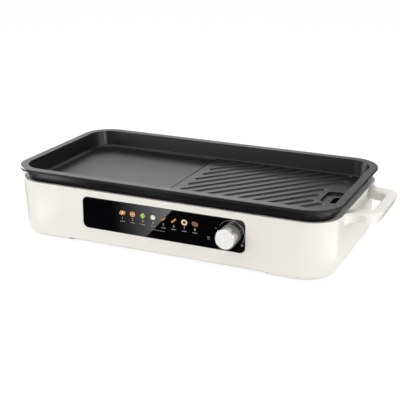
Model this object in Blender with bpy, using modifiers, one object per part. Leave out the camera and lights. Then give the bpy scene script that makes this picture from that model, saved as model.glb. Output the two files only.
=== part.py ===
"""Electric grill pan: a lift-off cast pan on a moulded base with a fixed tubular heater.

Metres, +Z up, +X along the pan, the control panel faces -Y, and the feet stand on z = 0.
Every piece is one object, placed under the empty grill_origin, which centres the whole on X and Y.
"""
import math

import bmesh
import bpy
from mathutils import Matrix, Vector

# Shared clearances
GAP = 0.0003
CUT_OVERRUN = 0.002
MERGE = 0.00005
ROUND_STEPS = 20
SMALL_STEPS = 12
SHANK_STEPS = 8
KNOB_STEPS = 36
CORNER_STEPS = 6
FILLET_STEPS = 3

# Overall sizes of the tub, which the rest follows
HOUSING_LENGTH = 0.486
HOUSING_WIDTH = 0.248
HOUSING_HEIGHT = 0.082

# Pan, whose rim hangs over the tub
RIM_OVERHANG_END = 0.002
RIM_OVERHANG_SIDE = 0.0052
RIM_CORNER = 0.044
RIM_FLANGE_END = 0.0114
RIM_FLANGE_SIDE = 0.013
RIM_THICKNESS = 0.004
RIM_ROUND = 0.0018
PAN_RISE = 0.021
PAN_DEPTH = 0.026
PAN_FLOOR = 0.004
PAN_WALL = 0.003
PAN_DRAFT = 0.004
PAN_FILLET = 0.007
PAN_BASE_ROUND = 0.002
FIELD_LEFT = -0.019
FIELD_RISE = 0.002
FIELD_EDGE = 0.0007
FIELD_SINK = 0.002
FIELD_MARGIN = 0.0015
GROOVE_ANGLE = math.radians(49.3)
GROOVE_PITCH = 0.0173
GROOVE_WIDTH = 0.0082
GROOVE_FLOOR_WIDTH = 0.0044
GROOVE_DEPTH = 0.0022
GROOVE_SETBACK = 0.012
GROOVE_INSET = 0.040
GROOVE_MARGIN = 0.0025
GROOVE_LEAD = 0.0546
GROOVE_COUNT = 17
GROOVE_SHORTEST = 0.006
GROOVE_END_STEPS = 3
SUMP_INSET = 0.039
SUMP_Y = 0.004
SUMP_LENGTH = 0.028
SUMP_WIDTH = 0.048
SUMP_CORNER = 0.009
SUMP_DEPTH = 0.0016
SUMP_MARGIN = 0.006
DRAIN_LENGTH = 0.013
DRAIN_WIDTH = 0.030
DRAIN_SHORE = 0.003
DRAIN_OFFSET_Y = -0.004
SPOUT_WALL = 0.0025
SPOUT_DROP = 0.006

# Housing tub
HOUSING_CORNER = 0.043
HOUSING_WALL = 0.0025
HOUSING_END_DRAFT = 0.005
HOUSING_EDGE = 0.0008
END_ROUND = 0.022
SIDE_ROUND = 0.006
FOOT_DROP = 0.0025
ARCH_RISE = 0.0023
ARCH_SETBACK = 0.002
ARCH_RAMP = 0.016
ARCH_STEPS = 2
ARCH_FADE = 0.010
LIP_WIDTH = 0.0022
SEAT_WIDTH = 0.0045
SEAT_DEPTH = 0.0017
SEAT_HEIGHT = 0.0028
SEAT_SLOPE = 0.0018

# Base cover and feet
COVER_MARGIN_END = 0.053
COVER_MARGIN_SIDE = 0.036
COVER_CORNER = 0.022
COVER_THICKNESS = 0.0025
COVER_LAP = 0.012
COVER_SCREW_INSET = 0.070
VENT_LENGTH = 0.034
VENT_WIDTH = 0.003
VENT_PITCH = 0.009
VENT_COUNT = 6
VENT_INSET_X = 0.105
VENT_INSET_Y = 0.048
FOOT_RADIUS = 0.012
FOOT_TAPER = 0.0015
FOOT_INSET_X = 0.036
FOOT_INSET_Y = 0.0215
FOOT_STEM_RADIUS = 0.003
FOOT_STEM_STAND = 0.0012

# Screws
SCREW_RADIUS = 0.0015
SCREW_HEAD_RADIUS = 0.0029
SCREW_HEAD = 0.0017
COVER_SCREW_LENGTH = 0.009
HANDLE_SCREW_LENGTH = 0.012
BOARD_SCREW_LENGTH = 0.006

# Loop handles
HANDLE_REACH = 0.043
HANDLE_HEIGHT = 0.013
HANDLE_WIDTH = 0.120
HANDLE_ROOT_SPREAD = 0.010
HANDLE_FLARE_STOP = 0.024
HANDLE_CORNER = 0.024
HANDLE_BAR = 0.0145
HANDLE_ARM = 0.020
HOLE_CORNER = 0.012
HANDLE_EDGE = 0.0035
HANDLE_UNDERCUT = 0.0055
HANDLE_SCREW_INSET = 0.014
HANDLE_SCREW_RISE = 0.0044

# Heat reflector tray
SHEET = 0.001
WELL_CLEARANCE = 0.0014
WELL_DEPTH = 0.0205
LOWER_WELL_MARGIN_END = 0.021
LOWER_WELL_MARGIN_SIDE = 0.024
LOWER_WELL_CORNER = 0.026
LOWER_WELL_DRAFT = 0.002
FLANGE_STEP = 0.0008
FLANGE_STEP_X = 0.0025

# Tubular heater
ELEMENT_RADIUS = 0.0035
ELEMENT_RUNS = 4
ELEMENT_MARGIN_SIDE = 0.034
ELEMENT_MARGIN_LEFT = 0.027
ELEMENT_MARGIN_RIGHT = 0.064
ELEMENT_BEND_STEPS = 8
ELEMENT_DIP = 0.0035
ELEMENT_DIP_RUN = 0.012
ELEMENT_PIN_OUT = 0.0105
BEAD_RADIUS = 0.0056
BEAD_LENGTH = 0.0075
BRACKET_THICKNESS = 0.0016
BRACKET_MARGIN = 0.010
BRACKET_X_SHARES = (0.14, 0.68, 0.935)
BRACKET_NOTCH_STEPS = 8

# Sprung temperature probe and thermal cutout
PROBE_X = -0.012
PROBE_CAP_RADIUS = 0.008
PROBE_CAP = 0.0025
PROBE_STEM_RADIUS = 0.0044
PROBE_STEM = 0.020
SLEEVE_WALL = 0.0014
SLEEVE_RISE = 0.0075
SLEEVE_DROP = 0.014
SLEEVE_FLANGE_RADIUS = 0.0105
SLEEVE_FLANGE = 0.0014
SLEEVE_LEAD_RADIUS = 0.0016
SPRING_RADIUS = 0.0036
SPRING_WIRE = 0.0005
SPRING_TURNS = 5
SPRING_POINTS = 8
CUTOUT_X = 0.070
CUTOUT_RADIUS = 0.0085
CUTOUT_HEIGHT = 0.009
CUTOUT_CAP_RADIUS = 0.006
CUTOUT_CAP = 0.002

# Grease cup
CUP_LENGTH = 0.025
CUP_WIDTH = 0.046
CUP_HEIGHT = 0.013
CUP_WALL = 0.0009
CUP_CORNER = 0.006
CUP_RIM = 0.0012

# Control panel, board and knob
PANEL_LENGTH = 0.248
PANEL_HEIGHT = 0.046
PANEL_CORNER = 0.008
PANEL_THICKNESS = 0.0022
PANEL_BELOW_TOP = 0.008
BACKING_LAP = 0.0015
BACKING_THICKNESS = 0.0025
KNOB_INSET = 0.020
KNOB_RISE = 0.0015
KNOB_RADIUS = 0.01425
KNOB_LENGTH = 0.0214
KNOB_STANDOFF = 0.0006
KNOB_EDGE = 0.0006
KNOB_BORE_SPARE = 0.0005
KNOB_CAP_INSET = 0.00115
KNOB_CAP_THICKNESS = 0.0009
KNOB_SKIRT_WALL = 0.0022
KNOB_HUB_WALL = 0.0022
KNOB_FACE_WALL = 0.0054
SHAFT_RADIUS = 0.003
SHAFT_HOLE_CLEARANCE = 0.0012
SHAFT_SHORT_OF_FACE = 0.0089
CONTROL_SIZE = 0.0124
CONTROL_DEPTH = 0.0056
BOARD_MARGIN_X = 0.011
BOARD_MARGIN_Z = 0.006
BOARD_THICKNESS = 0.0016
BOARD_POST_RADIUS = 0.0026
BOARD_POST_INSET = 0.006

# Power electronics on the base cover
POWER_INSET_X = 0.090
POWER_Y = 0.006
POWER_LENGTH = 0.110
POWER_WIDTH = 0.068
POWER_POST_RADIUS = 0.0032
POWER_POST_HEIGHT = 0.0065
POWER_POST_INSET = 0.005
TRANSFORMER_LENGTH = 0.032
TRANSFORMER_WIDTH = 0.026
TRANSFORMER_HEADROOM = 0.0132
TRANSFORMER_OFFSET = (0.024, 0.012)
RELAY_SIZE = (0.019, 0.016, 0.0155)
RELAY_OFFSET = (-0.026, -0.010)
COMPONENT_EDGE = 0.0012

# Mains inlet in the back wall
INLET_INSET = 0.093
INLET_Z = 0.031
INLET_LENGTH = 0.0275
INLET_HEIGHT = 0.0195
INLET_CORNER = 0.0045
INLET_FLANGE = 0.0025
INLET_FLANGE_THICKNESS = 0.002
INLET_BODY_DEPTH = 0.0235
INLET_CAVITY_WALL = 0.0017
INLET_CAVITY_DEPTH = 0.0165
PIN_WIDTH = 0.002
PIN_HEIGHT = 0.004
PIN_SPREAD = 0.007
PIN_EARTH_RISE = 0.0035
PIN_RECESS = 0.005
PIN_TAIL = 0.006

# Wires
WIRE_RADIUS = 0.0012
WIRE_POINTS = 18

# Heights, half sizes and places that follow from the sizes above
PAN_TOP = HOUSING_HEIGHT + PAN_RISE
PAN_FLOOR_TOP = PAN_TOP - PAN_DEPTH
PAN_UNDERSIDE = PAN_FLOOR_TOP - PAN_FLOOR
SHOULDER_TOP = PAN_UNDERSIDE - GAP
TRAY_FLOOR_TOP = SHOULDER_TOP - WELL_DEPTH
HOUSING_HALF_X = HOUSING_LENGTH / 2
HOUSING_HALF_Y = HOUSING_WIDTH / 2
RIM_HALF_X = HOUSING_HALF_X + RIM_OVERHANG_END
RIM_HALF_Y = HOUSING_HALF_Y + RIM_OVERHANG_SIDE
FIELD_TOP = PAN_FLOOR_TOP + FIELD_RISE
GROOVE_START = FIELD_LEFT - GROOVE_LEAD
SUMP_X = RIM_HALF_X - SUMP_INSET
DRAIN_OFFSET_X = (SUMP_LENGTH - DRAIN_LENGTH) / 2 - DRAIN_SHORE
COVER_HALF_X = HOUSING_HALF_X - COVER_MARGIN_END
COVER_HALF_Y = HOUSING_HALF_Y - COVER_MARGIN_SIDE
COVER_SCREW_X = COVER_HALF_X - COVER_SCREW_INSET
ARCH_HALF = COVER_HALF_X - COVER_CORNER - ARCH_RAMP - ARCH_SETBACK
VENT_X = COVER_HALF_X - VENT_INSET_X
VENT_Y = COVER_HALF_Y - VENT_INSET_Y
FOOT_X = COVER_HALF_X - FOOT_INSET_X
FOOT_Y = HOUSING_HALF_Y - FOOT_INSET_Y
HANDLE_ROOT_WIDTH = HANDLE_WIDTH + 2 * HANDLE_ROOT_SPREAD
HANDLE_FLARE = HANDLE_REACH - HANDLE_FLARE_STOP
HANDLE_SCREW_Y = HANDLE_ROOT_WIDTH / 2 - HANDLE_SCREW_INSET
LOWER_HALF_X = HOUSING_HALF_X - LOWER_WELL_MARGIN_END
LOWER_HALF_Y = HOUSING_HALF_Y - LOWER_WELL_MARGIN_SIDE
ELEMENT_PITCH = 2 * (LOWER_HALF_Y - ELEMENT_MARGIN_SIDE) / (ELEMENT_RUNS - 1)
ELEMENT_LEFT = ELEMENT_MARGIN_LEFT - LOWER_HALF_X
ELEMENT_RIGHT = LOWER_HALF_X - ELEMENT_MARGIN_RIGHT
INLET_X = INLET_INSET - HOUSING_HALF_X
POWER_X = POWER_INSET_X - COVER_HALF_X
COVER_UNDERSIDE = FOOT_DROP + ARCH_RISE
COVER_TOP = COVER_UNDERSIDE + COVER_THICKNESS
COVER_SEAT = COVER_TOP + GAP
RING_TOP = COVER_UNDERSIDE + HOUSING_WALL
SEAT_LEVEL = HOUSING_HEIGHT - SEAT_DEPTH
ELEMENT_Z = PAN_UNDERSIDE - GAP - ELEMENT_RADIUS
PANEL_Z = HOUSING_HEIGHT - PANEL_BELOW_TOP - PANEL_HEIGHT / 2
KNOB_X = PANEL_LENGTH / 2 - KNOB_INSET
KNOB_Z = PANEL_Z + KNOB_RISE
FRONT_Y = -HOUSING_HALF_Y
BACKING_FRONT = FRONT_Y + HOUSING_WALL + GAP
BACKING_BACK = BACKING_FRONT + BACKING_THICKNESS
CONTROL_FRONT = BACKING_BACK + GAP
BOARD_FRONT = CONTROL_FRONT + CONTROL_DEPTH + GAP
BOARD_BACK = BOARD_FRONT + BOARD_THICKNESS
KNOB_BASE = FRONT_Y - KNOB_STANDOFF
KNOB_FACE = KNOB_BASE - KNOB_LENGTH
KNOB_CAP_RADIUS = KNOB_RADIUS - KNOB_CAP_INSET
KNOB_SKIRT_DEPTH = KNOB_LENGTH - KNOB_FACE_WALL
SHAFT_INTO_KNOB = KNOB_LENGTH - SHAFT_SHORT_OF_FACE
KNOB_BORE_DEPTH = SHAFT_INTO_KNOB + KNOB_BORE_SPARE
BOARD_LENGTH = PANEL_LENGTH - 2 * BOARD_MARGIN_X
BOARD_HEIGHT = PANEL_HEIGHT - 2 * BOARD_MARGIN_Z
POWER_BOARD_LOW = COVER_TOP + POWER_POST_HEIGHT + GAP
POWER_BOARD_TOP = POWER_BOARD_LOW + BOARD_THICKNESS
TRANSFORMER_HEIGHT = TRAY_FLOOR_TOP - SHEET - POWER_BOARD_TOP - GAP - TRANSFORMER_HEADROOM
TRANSFORMER_SIZE = (TRANSFORMER_LENGTH, TRANSFORMER_WIDTH, TRANSFORMER_HEIGHT)
PROBE_TOP = PAN_UNDERSIDE - GAP
ORIGIN_Y = -(RIM_HALF_Y + KNOB_FACE) / 2

# Finishes: colour, roughness, metallic
CREAM = ((0.83, 0.81, 0.76, 1), 0.32, 0.0)
COATED = ((0.028, 0.028, 0.030, 1), 0.38, 0.15)
STEEL = ((0.56, 0.55, 0.54, 1), 0.34, 1.0)
CHROME = ((0.78, 0.77, 0.74, 1), 0.16, 1.0)
BRUSHED = ((0.80, 0.79, 0.75, 1), 0.40, 0.9)
BLACK_LENS = ((0.004, 0.004, 0.005, 1), 0.06, 0.0)
BLACK_PLASTIC = ((0.03, 0.03, 0.03, 1), 0.5, 0.0)
RUBBER = ((0.05, 0.05, 0.05, 1), 0.8, 0.0)
CIRCUIT = ((0.02, 0.16, 0.07, 1), 0.5, 0.0)
CERAMIC = ((0.80, 0.78, 0.72, 1), 0.6, 0.0)
BRASS = ((0.70, 0.52, 0.22, 1), 0.3, 1.0)
GREY_PLASTIC = ((0.35, 0.35, 0.34, 1), 0.5, 0.0)
RED_WIRE = ((0.5, 0.04, 0.03, 1), 0.5, 0.0)
BLUE_WIRE = ((0.03, 0.08, 0.4, 1), 0.5, 0.0)


def clear_scene():
    """Remove every object, mesh and curve left in the file."""
    for item in list(bpy.data.objects):
        bpy.data.objects.remove(item, do_unlink=True)
    for store in (bpy.data.meshes, bpy.data.curves, bpy.data.materials):
        for block in list(store):
            store.remove(block)


def make_collection(name):
    """Return a collection of this name, linked to the scene."""
    collection = bpy.data.collections.get(name) or bpy.data.collections.new(name)
    if name not in bpy.context.scene.collection.children:
        bpy.context.scene.collection.children.link(collection)
    return collection


clear_scene()
PARTS = make_collection("electric_grill_pan")
CUTTERS = make_collection("cutters")
ORIGIN = bpy.data.objects.new("grill_origin", None)
ORIGIN.location = (0, ORIGIN_Y, 0)
PARTS.objects.link(ORIGIN)


def finish(obj, look):
    """Give an object its own material from a colour, roughness and metallic value."""
    colour, roughness, metallic = look
    material = bpy.data.materials.new(obj.name + "_finish")
    material.use_nodes = True
    shader = material.node_tree.nodes["Principled BSDF"]
    shader.inputs["Base Color"].default_value = colour
    shader.inputs["Roughness"].default_value = roughness
    shader.inputs["Metallic"].default_value = metallic
    obj.data.materials.clear()
    obj.data.materials.append(material)


def add_object(name, data, look=None, place=(0, 0, 0)):
    """Link a part, or a cutter where no look is given, under the origin empty."""
    obj = bpy.data.objects.new(name, data)
    obj.location = place
    obj.parent = ORIGIN
    if look is None:
        CUTTERS.objects.link(obj)
        obj.hide_render = True
        obj.display_type = "WIRE"
    else:
        PARTS.objects.link(obj)
        finish(obj, look)
    return obj


def mesh_from(name, bm, smooth_angle=None):
    """Turn a bmesh into a mesh with outward faces, shaded smooth below an angle."""
    bmesh.ops.recalc_face_normals(bm, faces=bm.faces)
    mesh = bpy.data.meshes.new(name)
    bm.to_mesh(mesh)
    bm.free()
    if smooth_angle is not None:
        mesh.shade_smooth()
        mesh.set_sharp_from_angle(angle=smooth_angle)
    return mesh


SMOOTH = math.radians(40)


def modify_boolean(target, cutter, operation="DIFFERENCE"):
    """Cut or join a target with a cutter object, exactly."""
    modifier = target.modifiers.new(cutter.name, "BOOLEAN")
    modifier.operation = operation
    modifier.object = cutter
    modifier.solver = "EXACT"


def rounded_rect(half_x, half_y, radius, stations=()):
    """Counter-clockwise points of a rounded rectangle, with extra x stations on its long sides."""
    radius = min(radius, half_x, half_y)
    corner_x = half_x - radius
    corner_y = half_y - radius
    points = []
    for quarter, (sign_x, sign_y) in enumerate(((1, 1), (-1, 1), (-1, -1), (1, -1))):
        for step in range(CORNER_STEPS + 1):
            turn = math.pi / 2 * (quarter + step / CORNER_STEPS)
            points.append((sign_x * corner_x + radius * math.cos(turn),
                           sign_y * corner_y + radius * math.sin(turn)))
        if quarter == 0:
            points.extend((x, half_y) for x in sorted(stations, reverse=True))
        if quarter == 2:
            points.extend((x, -half_y) for x in sorted(stations))
    return points


def flat_ring(half_x, half_y, radius, height, centre=(0, 0), stations=()):
    """A level rounded-rectangle ring of points."""
    return [Vector((centre[0] + x, centre[1] + y, height))
            for x, y in rounded_rect(half_x, half_y, radius, stations)]


def upright_ring(half_x, half_z, radius, depth, centre):
    """A rounded-rectangle ring of points that stands in the front plane at a depth y."""
    return [Vector((centre[0] + x, depth, centre[1] + z))
            for x, z in rounded_rect(half_x, half_z, radius)]


def add_loft(bm, rings, closed=False):
    """Skin a list of equal rings, and cap both ends or join the last ring to the first."""
    skins = [[bm.verts.new(point) for point in ring] for ring in rings]
    pairs = list(zip(skins, skins[1:]))
    if closed:
        pairs.append((skins[-1], skins[0]))
    for lower, upper in pairs:
        for index in range(len(lower)):
            follow = (index + 1) % len(lower)
            bm.faces.new((lower[index], lower[follow], upper[follow], upper[index]))
    if not closed:
        bm.faces.new(list(reversed(skins[0])))
        bm.faces.new(skins[-1])


def loft(name, rings, look=None, closed=False, place=(0, 0, 0)):
    """An object skinned over rings of points."""
    bm = bmesh.new()
    add_loft(bm, rings, closed)
    return add_object(name, mesh_from(name, bm, SMOOTH), look, place)


def add_cylinder(bm, radius, low, high, centre=(0, 0), axis="Z", segments=SMALL_STEPS):
    """Add a capped cylinder that runs from low to high along an axis through centre."""
    span = Matrix.Translation((0, 0, (low + high) / 2))
    turn = {"Z": Matrix(), "Y": Matrix.Rotation(-math.pi / 2, 4, "X"),
            "X": Matrix.Rotation(math.pi / 2, 4, "Y")}[axis]
    shift = {"Z": Vector((centre[0], centre[1], 0)), "Y": Vector((centre[0], 0, centre[1])),
             "X": Vector((0, centre[0], centre[1]))}[axis]
    bmesh.ops.create_cone(bm, cap_ends=True, segments=segments, radius1=radius, radius2=radius,
                          depth=high - low, matrix=Matrix.Translation(shift) @ turn @ span)


def cylinder_cutter(name, holes, axis="Z", segments=SMALL_STEPS):
    """A cutter made of cylinders, each given as radius, low, high and centre."""
    bm = bmesh.new()
    for radius, low, high, centre in holes:
        add_cylinder(bm, radius, low, high, centre, axis, segments)
    return add_object(name, mesh_from(name, bm))


def block(name, size, place, look=None, edge=0):
    """A box on its centre, with its edges bevelled where an edge width is given."""
    bm = bmesh.new()
    bmesh.ops.create_cube(bm, size=1, matrix=Matrix.Diagonal((*size, 1)))
    obj = add_object(name, mesh_from(name, bm), look, place)
    if edge:
        bevel = obj.modifiers.new("edges", "BEVEL")
        bevel.width = edge
        bevel.segments = 2
        bevel.limit_method = "ANGLE"
    return obj


def turned(name, profile, look, place=(0, 0, 0), tilt=0, steps=ROUND_STEPS):
    """Turn a profile of radius and height, listed down its outer side, about Z, then tilt about X."""
    mesh = bpy.data.meshes.new(name)
    mesh.from_pydata([(radius, 0, height) for radius, height in profile],
                     [(index, index + 1) for index in range(len(profile) - 1)], [])
    obj = add_object(name, mesh, look, place)
    obj.rotation_euler = (tilt, 0, 0)
    screw = obj.modifiers.new("turn", "SCREW")
    screw.axis = "Z"
    screw.steps = steps
    screw.render_steps = steps
    screw.use_merge_vertices = True
    screw.merge_threshold = MERGE
    screw.use_smooth_shade = False
    return obj


def screw_piece(name, length, place, tilt=(0, 0, 0)):
    """A pan-head screw with its head's underside on its place and its shank along +Z."""
    profile = ((0, length), (SCREW_RADIUS, length), (SCREW_RADIUS, 0), (SCREW_HEAD_RADIUS, 0),
               (SCREW_HEAD_RADIUS, -SCREW_HEAD / 2), (SCREW_HEAD_RADIUS / 2, -SCREW_HEAD),
               (0, -SCREW_HEAD))
    obj = turned(name, profile, STEEL, place, steps=SHANK_STEPS)
    obj.rotation_euler = tilt
    return obj


def tube(name, points, radius, look, resolution=1):
    """A round wire or tube along points, with filled ends."""
    curve = bpy.data.curves.new(name, "CURVE")
    curve.dimensions = "3D"
    curve.bevel_depth = radius
    curve.bevel_resolution = resolution
    curve.use_fill_caps = True
    spline = curve.splines.new("POLY")
    spline.points.add(len(points) - 1)
    for target, point in zip(spline.points, points):
        target.co = (*point, 1)
    return add_object(name, curve, look)


def smooth_route(knots, count):
    """Even points on a smooth curve through knots."""
    knots = [Vector(knot) for knot in knots]
    padded = [knots[0] * 2 - knots[1], *knots, knots[-1] * 2 - knots[-2]]
    points = []
    for index in range(count):
        position = index / (count - 1) * (len(knots) - 1)
        leg = min(int(position), len(knots) - 2)
        t = position - leg
        before, start, end, after = padded[leg:leg + 4]
        points.append(0.5 * (2 * start + (end - before) * t
                             + (2 * before - 5 * start + 4 * end - after) * t * t
                             + (3 * start - before - 3 * end + after) * t ** 3))
    return points


def ramp(value):
    """A smooth step from 0 to 1."""
    value = min(max(value, 0), 1)
    return value * value * (3 - 2 * value)


# Housing shell

def arch_stations():
    """The x places on the long sides where the lower edge bends into its arch."""
    steps = [ARCH_HALF + ARCH_RAMP * step / ARCH_STEPS for step in range(ARCH_STEPS + 1)]
    return [sign * x for x in steps for sign in (-1, 1)]


def arch_lift(x, above_foot):
    """How far a point of the lower edge is raised by the arch."""
    inside = 1 - ramp((abs(x) - ARCH_HALF) / ARCH_RAMP)
    fade = max(0, 1 - above_foot / ARCH_FADE)
    return ARCH_RISE * inside * fade


def end_draft(height):
    """How far the end walls lean in at a height."""
    return HOUSING_END_DRAFT * (HOUSING_HEIGHT - height) / HOUSING_HEIGHT


def housing_ring(inset_x, inset_y, height, draft_height, arched=False):
    """A ring of the housing, set in from its top outline."""
    ring = flat_ring(HOUSING_HALF_X - end_draft(draft_height) - inset_x, HOUSING_HALF_Y - inset_y,
                     HOUSING_CORNER - min(inset_x, inset_y), height, stations=arch_stations())
    if arched:
        for point in ring:
            point.z += arch_lift(point.x, height - FOOT_DROP)
    return ring


def side_inset(above, radius):
    """How far a rounded lower edge of this radius lies inside the wall at a height above its foot."""
    if above >= radius:
        return 0
    return radius - math.sqrt(radius * radius - (radius - above) ** 2)


def lower_round(end_radius, side_radius, level, wall, steps, arched):
    """Rings down, from wall to foot, round the lower edge of the tub."""
    rings = []
    for step in range(steps + 1):
        turn = math.pi / 2 * step / steps
        above = end_radius * (1 - math.sin(turn))
        rings.append(housing_ring(wall + end_radius * (1 - math.cos(turn)),
                                  wall + side_inset(above, side_radius), level + above,
                                  level + above, arched))
    return rings


def cover_ring(grow, height, arched=False):
    """A ring that follows the base cover's outline."""
    ring = flat_ring(COVER_HALF_X + grow, COVER_HALF_Y + grow, COVER_CORNER + grow, height,
                     stations=arch_stations())
    if arched:
        for point in ring:
            point.z += arch_lift(point.x, 0)
    return ring


def housing_rings():
    """Rings of the tub: down the outside, in across the foot, and up the inside."""
    outer = [housing_ring(HOUSING_EDGE, HOUSING_EDGE, HOUSING_HEIGHT, HOUSING_HEIGHT),
             housing_ring(0, 0, HOUSING_HEIGHT - HOUSING_EDGE, HOUSING_HEIGHT)]
    outer += lower_round(END_ROUND, SIDE_ROUND, FOOT_DROP, 0, CORNER_STEPS, True)
    joggle = [cover_ring(GAP, FOOT_DROP, True), cover_ring(GAP, COVER_SEAT),
              cover_ring(-COVER_LAP, COVER_SEAT), cover_ring(-COVER_LAP, COVER_SEAT + HOUSING_WALL),
              cover_ring(HOUSING_WALL, COVER_SEAT + HOUSING_WALL), cover_ring(HOUSING_WALL, RING_TOP)]
    inner = lower_round(END_ROUND - HOUSING_WALL - ARCH_RISE, SIDE_ROUND - HOUSING_WALL, RING_TOP,
                        HOUSING_WALL, FILLET_STEPS, False)
    inner.reverse()
    seat_foot = SEAT_LEVEL - SEAT_HEIGHT
    top = [housing_ring(HOUSING_WALL, HOUSING_WALL, seat_foot - SEAT_SLOPE, seat_foot - SEAT_SLOPE),
           housing_ring(SEAT_WIDTH, SEAT_WIDTH, seat_foot, HOUSING_HEIGHT),
           housing_ring(SEAT_WIDTH, SEAT_WIDTH, SEAT_LEVEL, HOUSING_HEIGHT),
           housing_ring(LIP_WIDTH, LIP_WIDTH, SEAT_LEVEL, HOUSING_HEIGHT),
           housing_ring(LIP_WIDTH, LIP_WIDTH, HOUSING_HEIGHT, HOUSING_HEIGHT)]
    return outer + joggle + inner + top


def cover_screw_places():
    """Centres of the six base screws, midway on the cover's lap."""
    reach_x = COVER_HALF_X - COVER_LAP / 2
    reach_y = COVER_HALF_Y - COVER_LAP / 2
    return [(COVER_SCREW_X, reach_y), (-COVER_SCREW_X, reach_y), (-COVER_SCREW_X, -reach_y),
            (COVER_SCREW_X, -reach_y), (reach_x, 0), (-reach_x, 0)]


def foot_places():
    """Centres of the four feet."""
    return [(sx * FOOT_X, sy * FOOT_Y) for sx, sy in ((-1, -1), (1, -1), (1, 1), (-1, 1))]


def handle_top():
    """The handles' top face is level with the housing's top."""
    return HOUSING_HEIGHT


def handle_screw_z():
    """Height of the handle screws, above the underside of the arms."""
    return handle_top() - HANDLE_HEIGHT + HANDLE_SCREW_RISE


def build_housing():
    """The cream tub, with its panel window, inlet window and screw holes."""
    housing = loft("housing_shell", housing_rings(), CREAM, closed=True)
    window_front = FRONT_Y - CUT_OVERRUN
    window_back = FRONT_Y + HOUSING_WALL + CUT_OVERRUN
    window = loft("panel_window", [
        upright_ring(PANEL_LENGTH / 2 + GAP, PANEL_HEIGHT / 2 + GAP, PANEL_CORNER + GAP, depth,
                     (0, PANEL_Z)) for depth in (window_front, window_back)])
    modify_boolean(housing, window)
    inlet_window = loft("inlet_window", [
        upright_ring(INLET_LENGTH / 2 + GAP, INLET_HEIGHT / 2 + GAP, INLET_CORNER + GAP, depth,
                     (INLET_X, INLET_Z)) for depth in (-window_back, -window_front)])
    modify_boolean(housing, inlet_window)
    screw_hole = SCREW_RADIUS + GAP
    uprights = [(screw_hole, COVER_SEAT - CUT_OVERRUN, COVER_SEAT + HOUSING_WALL + CUT_OVERRUN, spot)
                for spot in cover_screw_places()]
    modify_boolean(housing, cylinder_cutter("cover_screw_holes", uprights, segments=SHANK_STEPS))
    modify_boolean(housing, cylinder_cutter("foot_stem_holes", [
        (FOOT_STEM_RADIUS + GAP, FOOT_DROP - CUT_OVERRUN, RING_TOP + CUT_OVERRUN, spot)
        for spot in foot_places()]))
    for sign in (-1, 1):
        wall = sign * (HOUSING_HALF_X - end_draft(handle_screw_z()))
        near, far = sorted((wall + sign * CUT_OVERRUN, wall - sign * (HOUSING_WALL + CUT_OVERRUN)))
        side = "left" if sign < 0 else "right"
        modify_boolean(housing, cylinder_cutter("handle_holes_" + side, [
            (screw_hole, near, far, (y, handle_screw_z()))
            for y in (-HANDLE_SCREW_Y, HANDLE_SCREW_Y)], axis="X", segments=SHANK_STEPS))


# Base cover, feet and screws

def build_base_cover():
    """The flat cover under the tub, with vents and four posts for the power board."""
    cover = loft("base_cover", [
        flat_ring(COVER_HALF_X, COVER_HALF_Y, COVER_CORNER, height)
        for height in (COVER_UNDERSIDE, COVER_TOP)], GREY_PLASTIC)
    bm = bmesh.new()
    for x, y in power_post_places():
        add_cylinder(bm, POWER_POST_RADIUS, COVER_TOP - COVER_THICKNESS / 2,
                     COVER_TOP + POWER_POST_HEIGHT, (x, y))
    modify_boolean(cover, add_object("power_posts", mesh_from("power_posts", bm)), "UNION")
    bottom = COVER_UNDERSIDE - CUT_OVERRUN
    holes = [(SCREW_RADIUS + GAP, bottom, COVER_TOP + CUT_OVERRUN, spot)
             for spot in cover_screw_places()]
    modify_boolean(cover, cylinder_cutter("cover_holes", holes, segments=SHANK_STEPS))
    blind = [(SCREW_RADIUS + GAP, COVER_TOP + GAP, COVER_TOP + POWER_POST_HEIGHT + CUT_OVERRUN, spot)
             for spot in power_post_places()]
    modify_boolean(cover, cylinder_cutter("post_holes", blind, segments=SHANK_STEPS))
    bm = bmesh.new()
    for side in (-1, 1):
        for index in range(VENT_COUNT):
            x = VENT_X + (index - (VENT_COUNT - 1) / 2) * VENT_PITCH
            size = (VENT_WIDTH, VENT_LENGTH, COVER_THICKNESS + 2 * CUT_OVERRUN)
            middle = (COVER_UNDERSIDE + COVER_TOP) / 2
            bmesh.ops.create_cube(bm, size=1, matrix=Matrix.Translation((x, side * VENT_Y, middle))
                                  @ Matrix.Diagonal((*size, 1)))
    modify_boolean(cover, add_object("vents", mesh_from("vents", bm)))


def build_feet():
    """Four rubber feet, each a tapered disc with a stem in the tub."""
    disc_top = FOOT_DROP - GAP
    stem_top = RING_TOP + FOOT_STEM_STAND
    profile = ((0, stem_top), (FOOT_STEM_RADIUS, stem_top), (FOOT_STEM_RADIUS, disc_top),
               (FOOT_RADIUS, disc_top), (FOOT_RADIUS - FOOT_TAPER, 0), (0, 0))
    for index, (x, y) in enumerate(foot_places(), 1):
        turned("rubber_foot_%d" % index, profile, RUBBER, (x, y, 0))


def build_base_screws():
    """Six screws that hold the base cover from below."""
    for index, (x, y) in enumerate(cover_screw_places(), 1):
        screw_piece("base_screw_%d" % index, COVER_SCREW_LENGTH, (x, y, COVER_UNDERSIDE - GAP))


# Handles

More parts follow.
